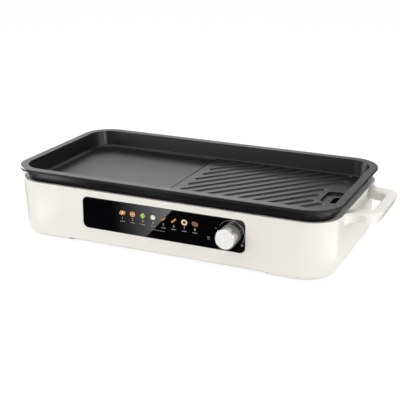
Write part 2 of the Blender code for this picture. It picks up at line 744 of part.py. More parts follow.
def handle_path(inset):
    """Outline of the right handle at an inset from its widest section, as x past the wall and y."""
    root_half = HANDLE_ROOT_WIDTH / 2 - inset
    half = HANDLE_WIDTH / 2 - inset
    reach = HANDLE_REACH - inset
    corner = max(HANDLE_CORNER - inset, HANDLE_CORNER / 2)
    flare = min(HANDLE_FLARE, reach - corner)
    outer = []
    for step in range(FILLET_STEPS + 1):
        share = step / FILLET_STEPS
        outer.append((flare * share, half + (root_half - half) * (1 - share) ** 2))
    for step in range(1, CORNER_STEPS + 1):
        turn = math.pi / 2 * step / CORNER_STEPS
        outer.append((reach - corner + corner * math.sin(turn), half - corner + corner * math.cos(turn)))
    hole_reach = HANDLE_REACH - HANDLE_BAR + inset
    hole_half = HANDLE_WIDTH / 2 - HANDLE_ARM + inset
    hole_corner = HOLE_CORNER + inset
    root_hole = hole_half + (HANDLE_ROOT_WIDTH - HANDLE_WIDTH) / 2
    inner = []
    for step in range(CORNER_STEPS, 0, -1):
        turn = math.pi / 2 * step / CORNER_STEPS
        inner.append((hole_reach - hole_corner + hole_corner * math.sin(turn),
                      hole_half - hole_corner + hole_corner * math.cos(turn)))
    bend = hole_reach - hole_corner
    for step in range(FILLET_STEPS, -1, -1):
        share = step / FILLET_STEPS
        inner.append((bend * share, hole_half + (root_hole - hole_half) * (1 - share) ** 2))
    return ([(x, -y) for x, y in outer] + [(x, y) for x, y in reversed(outer)]
            + [(x, y) for x, y in reversed(inner)] + [(x, -y) for x, y in inner])


def handle_levels():
    """Drop below the top face and inset of each section of the handle."""
    edge = HANDLE_EDGE
    levels = []
    for step in range(FILLET_STEPS + 1):
        turn = math.pi / 2 * step / FILLET_STEPS
        levels.append((edge * (1 - math.cos(turn)), edge * (1 - math.sin(turn))))
    under = HANDLE_UNDERCUT
    low = HANDLE_HEIGHT - edge
    levels.append((low, under - edge))
    for step in range(1, FILLET_STEPS + 1):
        turn = math.pi / 2 * step / FILLET_STEPS
        levels.append((low + edge * math.sin(turn), under - edge + edge * (1 - math.cos(turn))))
    return levels


def build_handle(name, sign):
    """One U loop handle on an end wall, with two screw holes in its roots."""
    rings = []
    for drop, inset in handle_levels():
        height = handle_top() - drop
        wall = HOUSING_HALF_X - end_draft(height) + GAP
        rings.append([Vector((sign * (wall + x), y, height)) for x, y in handle_path(inset)])
    handle = loft(name, rings, CREAM)
    wall = HOUSING_HALF_X - end_draft(handle_screw_z())
    tip = wall - HOUSING_WALL + HANDLE_SCREW_LENGTH
    near, far = sorted((sign * (wall - CUT_OVERRUN), sign * (tip + CUT_OVERRUN)))
    cutter = cylinder_cutter(name + "_holes", [
        (SCREW_RADIUS + GAP, near, far, (y, handle_screw_z()))
        for y in (-HANDLE_SCREW_Y, HANDLE_SCREW_Y)], axis="X", segments=SHANK_STEPS)
    modify_boolean(handle, cutter)


def build_handle_screws():
    """Four screws from inside the tub into the handles' roots."""
    index = 1
    for sign in (-1, 1):
        inside = HOUSING_HALF_X - end_draft(handle_screw_z()) - HOUSING_WALL - GAP
        for y in (-HANDLE_SCREW_Y, HANDLE_SCREW_Y):
            screw_piece("handle_screw_%d" % index, HANDLE_SCREW_LENGTH, (sign * inside, y, handle_screw_z()),
                        tilt=(0, sign * math.pi / 2, 0))
            index += 1


# Pan

def pan_wall_half(height):
    """Half length and half width of the pan's inner wall at a height."""
    lean = PAN_DRAFT * (PAN_TOP - height) / PAN_DEPTH
    return RIM_HALF_X - RIM_FLANGE_END - lean, RIM_HALF_Y - RIM_FLANGE_SIDE - lean


def pan_ring(height, grow):
    """A ring that follows the pan's inner wall, grown outward."""
    half_x, half_y = pan_wall_half(height)
    corner = RIM_CORNER - (RIM_HALF_X - half_x) + grow
    return flat_ring(half_x + grow, half_y + grow, corner, height)


def rim_ring(inset, height):
    """A ring set in from the rim's outer edge."""
    return flat_ring(RIM_HALF_X - inset, RIM_HALF_Y - inset, RIM_CORNER - inset, height)


def pan_rings():
    """Rings of the pan from its floor, up the inner wall, over the rim and down the outside."""
    rings = []
    for step in range(FILLET_STEPS + 1):
        turn = math.pi / 2 * step / FILLET_STEPS
        height = PAN_FLOOR_TOP + PAN_FILLET * (1 - math.cos(turn))
        rings.append(pan_ring(height, -PAN_FILLET * (1 - math.sin(turn))))
    rings.append(pan_ring(PAN_TOP - RIM_ROUND, 0))
    rings.append(pan_ring(PAN_TOP - RIM_ROUND / 4, RIM_ROUND / 3))
    rings.append(pan_ring(PAN_TOP, RIM_ROUND))
    for step in range(FILLET_STEPS + 1):
        turn = math.pi / 2 * step / FILLET_STEPS
        rings.append(rim_ring(RIM_ROUND * (1 - math.sin(turn)), PAN_TOP - RIM_ROUND * (1 - math.cos(turn))))
    underside = PAN_TOP - RIM_THICKNESS
    rings.append(rim_ring(0, underside + RIM_ROUND / 2))
    rings.append(rim_ring(RIM_ROUND / 2, underside))
    rings.append(pan_ring(underside, PAN_WALL + RIM_ROUND))
    rings.append(pan_ring(underside - RIM_ROUND, PAN_WALL))
    rings.append(pan_ring(PAN_UNDERSIDE + PAN_BASE_ROUND, PAN_WALL))
    rings.append(pan_ring(PAN_UNDERSIDE, PAN_WALL - PAN_BASE_ROUND))
    return rings


def field_ring(left, height):
    """A ring of the raised field: square at the left and rounded with the pan's wall at the right."""
    half_x, half_y = pan_wall_half(PAN_FLOOR_TOP)
    corner = RIM_CORNER - (RIM_HALF_X - half_x) - FIELD_MARGIN
    half_x -= FIELD_MARGIN
    half_y -= FIELD_MARGIN
    points = rounded_rect(half_x, half_y, corner)
    quarter = CORNER_STEPS + 1
    ring = points[:quarter] + [(left, half_y), (left, -half_y)] + points[-quarter:]
    return [Vector((x, y, height)) for x, y in ring]


def groove_spans():
    """The centres of each groove's two round ends, clipped to the field and kept off the sump."""
    reach = GROOVE_WIDTH / 2
    lean = 1 / math.tan(GROOVE_ANGLE)
    half_y = pan_wall_half(PAN_FLOOR_TOP)[1] - PAN_FILLET - GROOVE_MARGIN - reach
    left = FIELD_LEFT + GROOVE_SETBACK + reach
    right = RIM_HALF_X - GROOVE_INSET - reach
    sump_left = SUMP_X - SUMP_LENGTH / 2 - SUMP_MARGIN - reach
    sump_low = SUMP_Y - SUMP_WIDTH / 2 - SUMP_MARGIN - reach
    sump_high = SUMP_Y + SUMP_WIDTH / 2 + SUMP_MARGIN + reach
    for index in range(GROOVE_COUNT):
        offset = GROOVE_START + GROOVE_PITCH * index / math.sin(GROOVE_ANGLE)
        low = max(-half_y, (left - offset) / lean)
        high = min(half_y, (right - offset) / lean)
        beside = (sump_left - offset) / lean
        if sump_low < beside < sump_high:
            high = min(high, beside)
        elif beside < sump_low:
            high = min(high, sump_low)
        if high - low > GROOVE_SHORTEST:
            yield Vector((offset + lean * low, low)), Vector((offset + lean * high, high))


def groove_ring(start, end, half, height):
    """A level outline round a groove's centre line, with round ends."""
    along = (end - start).normalized()
    side = Vector((-along.y, along.x))
    ring = []
    for spot, sign in ((end, 1), (start, -1)):
        for step in range(GROOVE_END_STEPS + 1):
            turn = math.pi * step / GROOVE_END_STEPS - math.pi / 2
            point = spot + (along * math.cos(turn) + side * math.sin(turn)) * half * sign
            ring.append(Vector((point.x, point.y, height)))
    return ring


def add_groove(bm, start, end):
    """Add the cutter of one groove, whose walls slope out from its floor."""
    slope = (GROOVE_WIDTH - GROOVE_FLOOR_WIDTH) / 2 / GROOVE_DEPTH
    mouth = GROOVE_WIDTH / 2 + slope * CUT_OVERRUN
    add_loft(bm, [groove_ring(start, end, GROOVE_FLOOR_WIDTH / 2, FIELD_TOP - GROOVE_DEPTH),
                  groove_ring(start, end, mouth, FIELD_TOP + CUT_OVERRUN)])


def drain_centre():
    """Centre of the drain slot in the sump."""
    return SUMP_X + DRAIN_OFFSET_X, SUMP_Y + DRAIN_OFFSET_Y


def slot_ring(grow, height):
    """A ring round the drain slot, grown outward."""
    radius = DRAIN_LENGTH / 2 + grow
    return flat_ring(radius, DRAIN_WIDTH / 2 + grow, radius * 0.98, height, centre=drain_centre())


def build_pan():
    """The cast pan: rim, walls, raised field with slanted grooves, sump, drain slot and spout."""
    pan = loft("grill_pan", pan_rings(), COATED)
    field = loft("grooved_field", [field_ring(FIELD_LEFT, PAN_FLOOR_TOP - FIELD_SINK),
                                   field_ring(FIELD_LEFT, FIELD_TOP - FIELD_EDGE),
                                   field_ring(FIELD_LEFT + FIELD_EDGE, FIELD_TOP)])
    modify_boolean(pan, field, "UNION")
    bm = bmesh.new()
    for start, end in groove_spans():
        add_groove(bm, start, end)
    modify_boolean(pan, add_object("grooves", mesh_from("grooves", bm)))
    spout_top = PAN_UNDERSIDE + PAN_FLOOR / 3
    spout = loft("spout", [slot_ring(SPOUT_WALL, PAN_UNDERSIDE - SPOUT_DROP),
                           slot_ring(SPOUT_WALL, spout_top)])
    modify_boolean(pan, spout, "UNION")
    pocket = loft("sump_pocket", [
        flat_ring(SUMP_LENGTH / 2 + grow, SUMP_WIDTH / 2 + grow, SUMP_CORNER, height,
                  centre=(SUMP_X, SUMP_Y))
        for grow, height in ((-SUMP_DEPTH, PAN_FLOOR_TOP - SUMP_DEPTH), (0, FIELD_TOP),
                             (0, FIELD_TOP + CUT_OVERRUN))])
    modify_boolean(pan, pocket)
    drain = loft("drain_slot", [slot_ring(0, PAN_UNDERSIDE - SPOUT_DROP - CUT_OVERRUN),
                                slot_ring(0, FIELD_TOP + CUT_OVERRUN)])
    modify_boolean(pan, drain)


# Heat reflector, heater and probe

def well_ring(grow, height):
    """A ring round the pan's outside at a height, with the tray's clearance and extra growth."""
    half_x, half_y = pan_wall_half(height)
    spread = PAN_WALL + WELL_CLEARANCE + grow
    corner = RIM_CORNER - (RIM_HALF_X - half_x) + spread
    return flat_ring(half_x + spread, half_y + spread, corner, height)


def lower_ring(inset, height):
    """A ring of the tray's lower well."""
    return flat_ring(LOWER_HALF_X - inset, LOWER_HALF_Y - inset, LOWER_WELL_CORNER - inset, height)


def flange_ring(inset, height):
    """A ring of the tray's flange, set in from the tub's lip."""
    spread = LIP_WIDTH + GAP + inset
    return flat_ring(HOUSING_HALF_X - spread, HOUSING_HALF_Y - spread, HOUSING_CORNER - spread, height)


def build_reflector():
    """The pressed tray under the pan, with a shoulder that the pan sits on and a stepped flange."""
    low = SEAT_LEVEL + GAP
    top = low + SHEET
    inner_step = SEAT_WIDTH - LIP_WIDTH
    rings = [lower_ring(LOWER_WELL_DRAFT, TRAY_FLOOR_TOP), lower_ring(0, SHOULDER_TOP),
             well_ring(0, SHOULDER_TOP), well_ring(0, top - FLANGE_STEP),
             flange_ring(FLANGE_STEP_X + SHEET / 4, top - FLANGE_STEP), flange_ring(FLANGE_STEP_X, top),
             flange_ring(0, top), flange_ring(0, low), flange_ring(inner_step, low),
             flange_ring(inner_step, low - FLANGE_STEP), well_ring(SHEET, low - FLANGE_STEP),
             well_ring(SHEET, SHOULDER_TOP - SHEET), lower_ring(-SHEET, SHOULDER_TOP - SHEET),
             lower_ring(LOWER_WELL_DRAFT - SHEET, TRAY_FLOOR_TOP - SHEET)]
    tray = loft("heat_reflector", rings, STEEL)
    left = -(LOWER_HALF_X + SHEET + CUT_OVERRUN)
    right = -(LOWER_HALF_X - LOWER_WELL_DRAFT - CUT_OVERRUN)
    modify_boolean(tray, cylinder_cutter("element_exits", [
        (ELEMENT_RADIUS + GAP, left, right, (sign * element_outer_y(), element_end_z()))
        for sign in (-1, 1)], axis="X"))
    sleeve_hole = PROBE_STEM_RADIUS + GAP + SLEEVE_WALL + GAP
    modify_boolean(tray, cylinder_cutter("probe_hole", [
        (sleeve_hole, TRAY_FLOOR_TOP - SHEET - CUT_OVERRUN, TRAY_FLOOR_TOP + CUT_OVERRUN, (PROBE_X, 0))]))


def element_outer_y():
    """Distance of the heater's outer runs from the middle."""
    return ELEMENT_PITCH * (ELEMENT_RUNS - 1) / 2


def element_end_z():
    """Height of the heater's ends, which dip to pass under the tray's shoulder."""
    return ELEMENT_Z - ELEMENT_DIP


def element_points():
    """The heater's centre line: straight runs joined by half-round bends, with dipped ends."""
    radius = ELEMENT_PITCH / 2
    inside = -(LOWER_HALF_X - ELEMENT_DIP_RUN)
    entry = -(LOWER_HALF_X + ELEMENT_PIN_OUT)
    y = element_outer_y()
    points = [(entry, y, element_end_z()), (inside, y, element_end_z()), (inside + ELEMENT_DIP_RUN, y, ELEMENT_Z)]
    for run in range(ELEMENT_RUNS - 1):
        middle = element_outer_y() - ELEMENT_PITCH * (run + 0.5)
        centre, sign = (ELEMENT_RIGHT, 1) if run % 2 == 0 else (ELEMENT_LEFT, -1)
        for step in range(ELEMENT_BEND_STEPS + 1):
            turn = math.pi / 2 - math.pi * step / ELEMENT_BEND_STEPS
            points.append((centre + sign * radius * math.cos(turn), middle + radius * math.sin(turn),
                           ELEMENT_Z))
    points += [(inside + ELEMENT_DIP_RUN, -y, ELEMENT_Z), (inside, -y, element_end_z()),
               (entry, -y, element_end_z())]
    return points


def build_element():
    """The tubular heater, its end beads and the notched sheets that carry it."""
    tube("heating_element", element_points(), ELEMENT_RADIUS, STEEL, resolution=2)
    bore = ELEMENT_RADIUS + GAP
    start = LOWER_HALF_X + SHEET + GAP
    profile = ((bore, BEAD_LENGTH), (BEAD_RADIUS, BEAD_LENGTH), (BEAD_RADIUS, 0), (bore, 0),
               (bore, BEAD_LENGTH))
    for name, sign in (("element_bead_front", -1), ("element_bead_back", 1)):
        place = (-start, sign * element_outer_y(), element_end_z())
        bead = turned(name, profile, CERAMIC, place, steps=SMALL_STEPS)
        bead.rotation_euler = (0, -math.pi / 2, 0)
    for index, share in enumerate(BRACKET_X_SHARES, 1):
        x = ELEMENT_LEFT + share * (ELEMENT_RIGHT - ELEMENT_LEFT)
        rings = [[Vector((x + side * BRACKET_THICKNESS / 2, y, z)) for y, z in bracket_outline()]
                 for side in (-1, 1)]
        loft("element_bracket_%d" % index, rings, STEEL)


def bracket_outline():
    """Outline of a heater carrier: a strip on edge with a round notch under each run."""
    half = element_outer_y() + BRACKET_MARGIN
    notch = ELEMENT_RADIUS + GAP
    points = [(-half, TRAY_FLOOR_TOP + GAP), (half, TRAY_FLOOR_TOP + GAP), (half, ELEMENT_Z)]
    for run in range(ELEMENT_RUNS):
        y = element_outer_y() - ELEMENT_PITCH * run
        for step in range(BRACKET_NOTCH_STEPS + 1):
            turn = -math.pi * step / BRACKET_NOTCH_STEPS
            points.append((y + notch * math.cos(turn), ELEMENT_Z + notch * math.sin(turn)))
    points.append((-half, ELEMENT_Z))
    return points


def build_probe():
    """The sprung probe that presses on the pan: plunger, spring and sleeve."""
    stem_low = PROBE_TOP - PROBE_CAP - PROBE_STEM
    turned("probe_plunger", ((0, PROBE_TOP), (PROBE_CAP_RADIUS - PROBE_CAP / 3, PROBE_TOP),
                             (PROBE_CAP_RADIUS, PROBE_TOP - PROBE_CAP / 3),
                             (PROBE_CAP_RADIUS, PROBE_TOP - PROBE_CAP),
                             (PROBE_STEM_RADIUS, PROBE_TOP - PROBE_CAP),
                             (PROBE_STEM_RADIUS, stem_low), (0, stem_low)), STEEL, (PROBE_X, 0, 0),
           steps=SMALL_STEPS)
    bore = PROBE_STEM_RADIUS + GAP
    outer = bore + SLEEVE_WALL
    flange_low = TRAY_FLOOR_TOP + GAP
    flange_top = flange_low + SLEEVE_FLANGE
    sleeve_top = TRAY_FLOOR_TOP + SLEEVE_RISE
    sleeve_low = TRAY_FLOOR_TOP - SLEEVE_DROP
    floor_top = sleeve_low + SLEEVE_WALL
    turned("probe_holder", ((bore, sleeve_top), (outer, sleeve_top), (outer, flange_top),
                            (SLEEVE_FLANGE_RADIUS, flange_top), (SLEEVE_FLANGE_RADIUS, flange_low),
                            (outer, flange_low), (outer, sleeve_low), (SLEEVE_LEAD_RADIUS, sleeve_low),
                            (SLEEVE_LEAD_RADIUS, floor_top), (bore, floor_top), (bore, sleeve_top)),
           CERAMIC, (PROBE_X, 0, 0), steps=SMALL_STEPS)
    low = floor_top + GAP + SPRING_WIRE
    high = stem_low - GAP - SPRING_WIRE
    count = SPRING_TURNS * SPRING_POINTS
    points = []
    for index in range(count + 1):
        turn = 2 * math.pi * index / SPRING_POINTS
        points.append((PROBE_X + SPRING_RADIUS * math.cos(turn), SPRING_RADIUS * math.sin(turn),
                       low + (high - low) * index / count))
    tube("probe_spring", points, SPRING_WIRE, STEEL)
    cutout_top = TRAY_FLOOR_TOP - SHEET - GAP
    cutout_shoulder = cutout_top - CUTOUT_CAP
    cutout_low = cutout_top - CUTOUT_HEIGHT
    turned("thermal_cutout", ((0, cutout_top), (CUTOUT_CAP_RADIUS, cutout_top),
                              (CUTOUT_CAP_RADIUS, cutout_shoulder), (CUTOUT_RADIUS, cutout_shoulder),
                              (CUTOUT_RADIUS, cutout_low), (0, cutout_low)), CERAMIC, (CUTOUT_X, 0, 0),
           steps=SMALL_STEPS)


def build_grease_cup():
    """The loose cup on the tray floor under the drain spout."""
    centre = (LOWER_HALF_X - LOWER_WELL_DRAFT - CUP_RIM - CUP_LENGTH / 2, SUMP_Y)
    low = TRAY_FLOOR_TOP + GAP
    top = low + CUP_HEIGHT
    draft = CUP_WALL

    def cup_ring(grow, height):
        return flat_ring(CUP_LENGTH / 2 + grow, CUP_WIDTH / 2 + grow, CUP_CORNER + grow, height, centre)

    loft("grease_cup", [cup_ring(-CUP_WALL - 2 * draft, low + CUP_WALL), cup_ring(-CUP_WALL - draft, top),
                        cup_ring(CUP_RIM - draft, top), cup_ring(CUP_RIM - draft, top - CUP_WALL),
                        cup_ring(-draft, top - CUP_WALL), cup_ring(-2 * draft, low)], STEEL)


# Control panel, board and knob

def upright_plate(name, length, height, corner, front, back, centre, look=None):
    """A rounded plate that stands in the front plane."""
    rings = [upright_ring(length / 2, height / 2, corner, depth, centre) for depth in (front, back)]
    return loft(name, rings, look)


def shaft_hole(name, front, back):
    """A cutter for the control shaft's clearance hole."""
    return cylinder_cutter(name, [(SHAFT_RADIUS + SHAFT_HOLE_CLEARANCE, front - CUT_OVERRUN,
                                   back + CUT_OVERRUN, (KNOB_X, KNOB_Z))], axis="Y")


def board_post_places():
    """Centres of the posts that carry the control board, as x and z."""
    reach_x = BOARD_LENGTH / 2 - BOARD_POST_INSET
    reach_z = BOARD_HEIGHT / 2 - BOARD_POST_INSET
    return [(-reach_x, PANEL_Z + reach_z), (-reach_x, PANEL_Z - reach_z),
            (reach_x / 3, PANEL_Z + reach_z), (reach_x / 3, PANEL_Z - reach_z)]


def build_panel():
    """The black lens in the front window, its backing with posts, and the control board."""
    lens = upright_plate("control_panel", PANEL_LENGTH, PANEL_HEIGHT, PANEL_CORNER, FRONT_Y,
                         FRONT_Y + PANEL_THICKNESS, (0, PANEL_Z), BLACK_LENS)
    modify_boolean(lens, shaft_hole("lens_shaft_hole", FRONT_Y, FRONT_Y + PANEL_THICKNESS))
    lap = 2 * (GAP + BACKING_LAP)
    backing = upright_plate("panel_backing", PANEL_LENGTH + lap, PANEL_HEIGHT + lap,
                            PANEL_CORNER + BACKING_LAP, BACKING_FRONT, BACKING_BACK, (0, PANEL_Z),
                            BLACK_PLASTIC)
    bm = bmesh.new()
    for centre in board_post_places():
        add_cylinder(bm, BOARD_POST_RADIUS, BACKING_BACK - BACKING_THICKNESS / 2, BOARD_FRONT - GAP, centre,
                     axis="Y")
    modify_boolean(backing, add_object("board_posts", mesh_from("board_posts", bm)), "UNION")
    modify_boolean(backing, shaft_hole("backing_shaft_hole", BACKING_FRONT, BACKING_BACK))
    upright_plate("control_board", BOARD_LENGTH, BOARD_HEIGHT, BOARD_POST_INSET / 3, BOARD_FRONT,
                  BOARD_BACK, (0, PANEL_Z), CIRCUIT)
    block("rotary_control", (CONTROL_SIZE, CONTROL_DEPTH, CONTROL_SIZE),
          (KNOB_X, CONTROL_FRONT + CONTROL_DEPTH / 2, KNOB_Z), GREY_PLASTIC, COMPONENT_EDGE)


def build_knob():
    """The control knob: shaft, skirted body and brushed cap, all turned about the shaft's axis."""
    place = (KNOB_X, KNOB_BASE, KNOB_Z)
    tilt = math.pi / 2
    shaft_back = KNOB_BASE - BACKING_BACK
    shaft_tip = SHAFT_INTO_KNOB
    turned("control_shaft", ((0, shaft_tip), (SHAFT_RADIUS - KNOB_EDGE, shaft_tip),
                             (SHAFT_RADIUS, shaft_tip - KNOB_EDGE), (SHAFT_RADIUS, shaft_back),
                             (0, shaft_back)), STEEL, place, tilt, SMALL_STEPS)
    bore = SHAFT_RADIUS + GAP
    hub = bore + KNOB_HUB_WALL
    skirt = KNOB_RADIUS - KNOB_SKIRT_WALL
    recess = KNOB_CAP_RADIUS + GAP
    cap_floor = KNOB_LENGTH - KNOB_CAP_THICKNESS - GAP
    turned("knob_body", ((0, cap_floor), (recess, cap_floor), (recess, KNOB_LENGTH),
                         (KNOB_RADIUS - KNOB_EDGE, KNOB_LENGTH), (KNOB_RADIUS, KNOB_LENGTH - KNOB_EDGE),
                         (KNOB_RADIUS, 0), (skirt, 0), (skirt, KNOB_SKIRT_DEPTH), (hub, KNOB_SKIRT_DEPTH),
                         (hub, 0), (bore, 0), (bore, KNOB_BORE_DEPTH), (0, KNOB_BORE_DEPTH)),
           CHROME, place, tilt, KNOB_STEPS)
    cap_low = KNOB_LENGTH - KNOB_CAP_THICKNESS
    turned("knob_cap", ((0, KNOB_LENGTH), (KNOB_CAP_RADIUS, KNOB_LENGTH), (KNOB_CAP_RADIUS, cap_low),
                        (0, cap_low)), BRUSHED, place, tilt, KNOB_STEPS)


# Power board, inlet and wires

def power_post_places():
    """Centres of the posts under the power board."""
    reach_x = POWER_LENGTH / 2 - POWER_POST_INSET
    reach_y = POWER_WIDTH / 2 - POWER_POST_INSET
    return [(POWER_X + sx * reach_x, POWER_Y + sy * reach_y)
            for sx, sy in ((-1, -1), (1, -1), (1, 1), (-1, 1))]


def build_power_board():
    """The power board on the base cover, with its transformer, relay and screws."""
    board = loft("power_board", [
        flat_ring(POWER_LENGTH / 2, POWER_WIDTH / 2, POWER_POST_INSET / 2, height, (POWER_X, POWER_Y))
        for height in (POWER_BOARD_LOW, POWER_BOARD_TOP)], CIRCUIT)
    modify_boolean(board, cylinder_cutter("board_holes", [
        (SCREW_RADIUS + GAP, POWER_BOARD_LOW - CUT_OVERRUN, POWER_BOARD_TOP + CUT_OVERRUN, spot)
        for spot in power_post_places()], segments=SHANK_STEPS))
    for name, size, offset, look in (("transformer", TRANSFORMER_SIZE, TRANSFORMER_OFFSET, GREY_PLASTIC),
                                     ("relay", RELAY_SIZE, RELAY_OFFSET, BLACK_PLASTIC)):
        place = (POWER_X + offset[0], POWER_Y + offset[1], POWER_BOARD_TOP + GAP + size[2] / 2)
        block(name, size, place, look, COMPONENT_EDGE)
    for index, (x, y) in enumerate(power_post_places(), 1):
        screw_piece("board_screw_%d" % index, BOARD_SCREW_LENGTH, (x, y, POWER_BOARD_TOP + GAP),
                    tilt=(math.pi, 0, 0))


def pin_places():
    """Names and centres, as x and z, of the inlet's three pins."""
    return (("inlet_pin_live", INLET_X - PIN_SPREAD, INLET_Z - PIN_EARTH_RISE / 2),
            ("inlet_pin_neutral", INLET_X + PIN_SPREAD, INLET_Z - PIN_EARTH_RISE / 2),
            ("inlet_pin_earth", INLET_X, INLET_Z + PIN_EARTH_RISE))


def inlet_faces():
    """Depths of the inlet's outer face, cavity floor and inner end."""
    face = HOUSING_HALF_Y + GAP + INLET_FLANGE_THICKNESS
    return face, face - INLET_CAVITY_DEPTH, face - INLET_BODY_DEPTH


def build_inlet():
    """The mains inlet in the back wall: a flanged socket with three flat pins."""
    face, floor, end = inlet_faces()
    centre = (INLET_X, INLET_Z)
    half_x, half_z = INLET_LENGTH / 2, INLET_HEIGHT / 2
    cavity_x, cavity_z = half_x - INLET_CAVITY_WALL, half_z - INLET_CAVITY_WALL
    cavity_corner = INLET_CORNER - INLET_CAVITY_WALL
    flange_back = HOUSING_HALF_Y + GAP
    rings = [upright_ring(cavity_x, cavity_z, cavity_corner, floor, centre),
             upright_ring(cavity_x, cavity_z, cavity_corner, face, centre)]
    for depth in (face, flange_back):
        rings.append(upright_ring(half_x + INLET_FLANGE, half_z + INLET_FLANGE,
                                  INLET_CORNER + INLET_FLANGE, depth, centre))
    for depth in (flange_back, end):
        rings.append(upright_ring(half_x, half_z, INLET_CORNER, depth, centre))
    inlet = loft("mains_inlet", rings, BLACK_PLASTIC)
    tail = end - PIN_TAIL
    tip = face - PIN_RECESS
    bm = bmesh.new()
    for name, x, z in pin_places():
        block(name, (PIN_WIDTH, tip - tail, PIN_HEIGHT), (x, (tip + tail) / 2, z), BRASS)
        size = (PIN_WIDTH + 2 * GAP, floor - end + 2 * CUT_OVERRUN, PIN_HEIGHT + 2 * GAP)
        bmesh.ops.create_cube(bm, size=1, matrix=Matrix.Translation((x, (floor + end) / 2, z))
                              @ Matrix.Diagonal((*size, 1)))
    modify_boolean(inlet, add_object("pin_slots", mesh_from("pin_slots", bm)))


def build_wires():
    """The four leads from the inlet to the power board and from it to the heater's ends."""
    start = inlet_faces()[2] - PIN_TAIL - 2 * GAP
    reach = WIRE_RADIUS + GAP
    board_top = POWER_BOARD_TOP + reach
    back_edge = POWER_Y + POWER_WIDTH / 2
    span = start - back_edge
    places = {name: (x, z) for name, x, z in pin_places()}
    for name, pin, share, look in (("live_wire", "inlet_pin_live", 0.30, RED_WIRE),
                                   ("neutral_wire", "inlet_pin_neutral", 0.18, BLUE_WIRE)):
        x, z = places[pin]
        end_x = POWER_X - POWER_LENGTH * share
        tube(name, smooth_route((
            (x, start, z), (x, start - span / 4, z), ((x + end_x) / 2, start - span / 2, z - PIN_HEIGHT),
            (end_x, back_edge, board_top + PIN_HEIGHT / 2),
            (end_x, back_edge - 3 * PIN_HEIGHT, board_top)), WIRE_POINTS), WIRE_RADIUS, look)
    drop_x = -(LOWER_HALF_X + ELEMENT_PIN_OUT + reach)
    left_edge = POWER_X - POWER_LENGTH / 2
    for name, sign, look in (("element_wire_front", -1, RED_WIRE), ("element_wire_back", 1, BLUE_WIRE)):
        y = sign * element_outer_y()
        end_y = POWER_Y + sign * POWER_WIDTH / 5
        tube(name, smooth_route((
            (drop_x, y, element_end_z()), (drop_x, y, element_end_z() - 2 * ELEMENT_RADIUS),
            (drop_x, y, TRAY_FLOOR_TOP), (drop_x + reach, y, TRAY_FLOOR_TOP * 0.7),
            ((drop_x + left_edge) / 2, (y + end_y) / 2, board_top * 1.6),
            (left_edge, end_y, board_top + PIN_HEIGHT / 2),
            (left_edge + 3 * PIN_HEIGHT, end_y, board_top)), WIRE_POINTS), WIRE_RADIUS, look)


build_housing()
build_base_cover()
build_feet()
build_base_screws()
build_handle("left_handle", -1)
build_handle("right_handle", 1)
build_handle_screws()
build_pan()
build_reflector()
build_element()
build_probe()
build_grease_cup()
build_panel()
build_knob()
build_power_board()
build_inlet()
build_wires()
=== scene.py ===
"""Looks of the electric grill pan: fine surfaces, finishes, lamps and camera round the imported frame.

Metres, +Z up, +X along the pan, and the control panel faces -Y.
"""

import logging
import math
from dataclasses import dataclass, field
from enum import Enum
from typing import Callable, Iterable, Sequence, Union

import bmesh
import bpy
from mathutils import Euler, Matrix, Vector


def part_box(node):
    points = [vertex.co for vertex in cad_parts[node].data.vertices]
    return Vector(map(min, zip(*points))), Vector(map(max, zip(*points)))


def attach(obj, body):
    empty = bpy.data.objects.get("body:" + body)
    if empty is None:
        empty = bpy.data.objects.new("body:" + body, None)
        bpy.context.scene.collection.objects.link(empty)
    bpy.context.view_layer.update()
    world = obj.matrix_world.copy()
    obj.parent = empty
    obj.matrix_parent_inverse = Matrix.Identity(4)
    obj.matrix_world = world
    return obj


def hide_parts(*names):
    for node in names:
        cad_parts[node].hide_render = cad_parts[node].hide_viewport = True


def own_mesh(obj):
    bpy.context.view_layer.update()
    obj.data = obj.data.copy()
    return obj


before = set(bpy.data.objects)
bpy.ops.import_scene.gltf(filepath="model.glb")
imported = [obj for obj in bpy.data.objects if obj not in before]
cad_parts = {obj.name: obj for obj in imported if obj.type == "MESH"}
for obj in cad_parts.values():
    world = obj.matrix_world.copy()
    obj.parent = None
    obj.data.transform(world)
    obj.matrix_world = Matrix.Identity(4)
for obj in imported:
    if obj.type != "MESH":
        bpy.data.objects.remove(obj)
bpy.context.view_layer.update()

LOG = logging.getLogger("grill_pan")
Colour = tuple[float, float, float]
Point2 = tuple[float, float]
Point3 = tuple[float, float, float]
Tree = bpy.types.NodeTree
Socket = bpy.types.NodeSocket
Inputs = dict[Union[int, str], object]
MM = 0.001
QUARTER = math.pi / 2
GAP = 0.3 * MM
WELD = 0.002 * MM
OVERRUN = 1 * MM
STOREY = 100 * MM
# The share of its half width that a round end's corners take, short of all of it so that an edge stays.
FULL_ROUND = 0.98
PIPE_SIDES = 20
BEND_STEPS = 14
FIGURE_STEPS = 3
SHARP_ANGLE = math.radians(35)
PANEL_CORNER = 8 * MM
INLET_BODY = (27.5 * MM, 19.5 * MM)
INLET_CORNER = 4.5 * MM


class Body(Enum):
    """The frame's bodies that pieces ride on."""

    BASE = "base"
    PAN = "pan"
    CUP = "cup"
    KNOB = "knob"


class Grain(Enum):
    """Patterns that a finish can carry."""

    MOULDED = "fine moulded skin"
    CAST = "cast metal under a coat"
    ROLLED = "rolled sheet, drawn out along X"
    BRUSHED = "brushed metal, drawn out along Z"
    POLISHED = "polished"
    PLAIN = "smooth print"


STRETCH = {Grain.ROLLED: (0.04, 1.0, 1.0), Grain.BRUSHED: (1.0, 1.0, 0.05)}
GRAIN_SPAN = (0.3, 0.7)
GRAIN_ROUGHNESS = 0.6


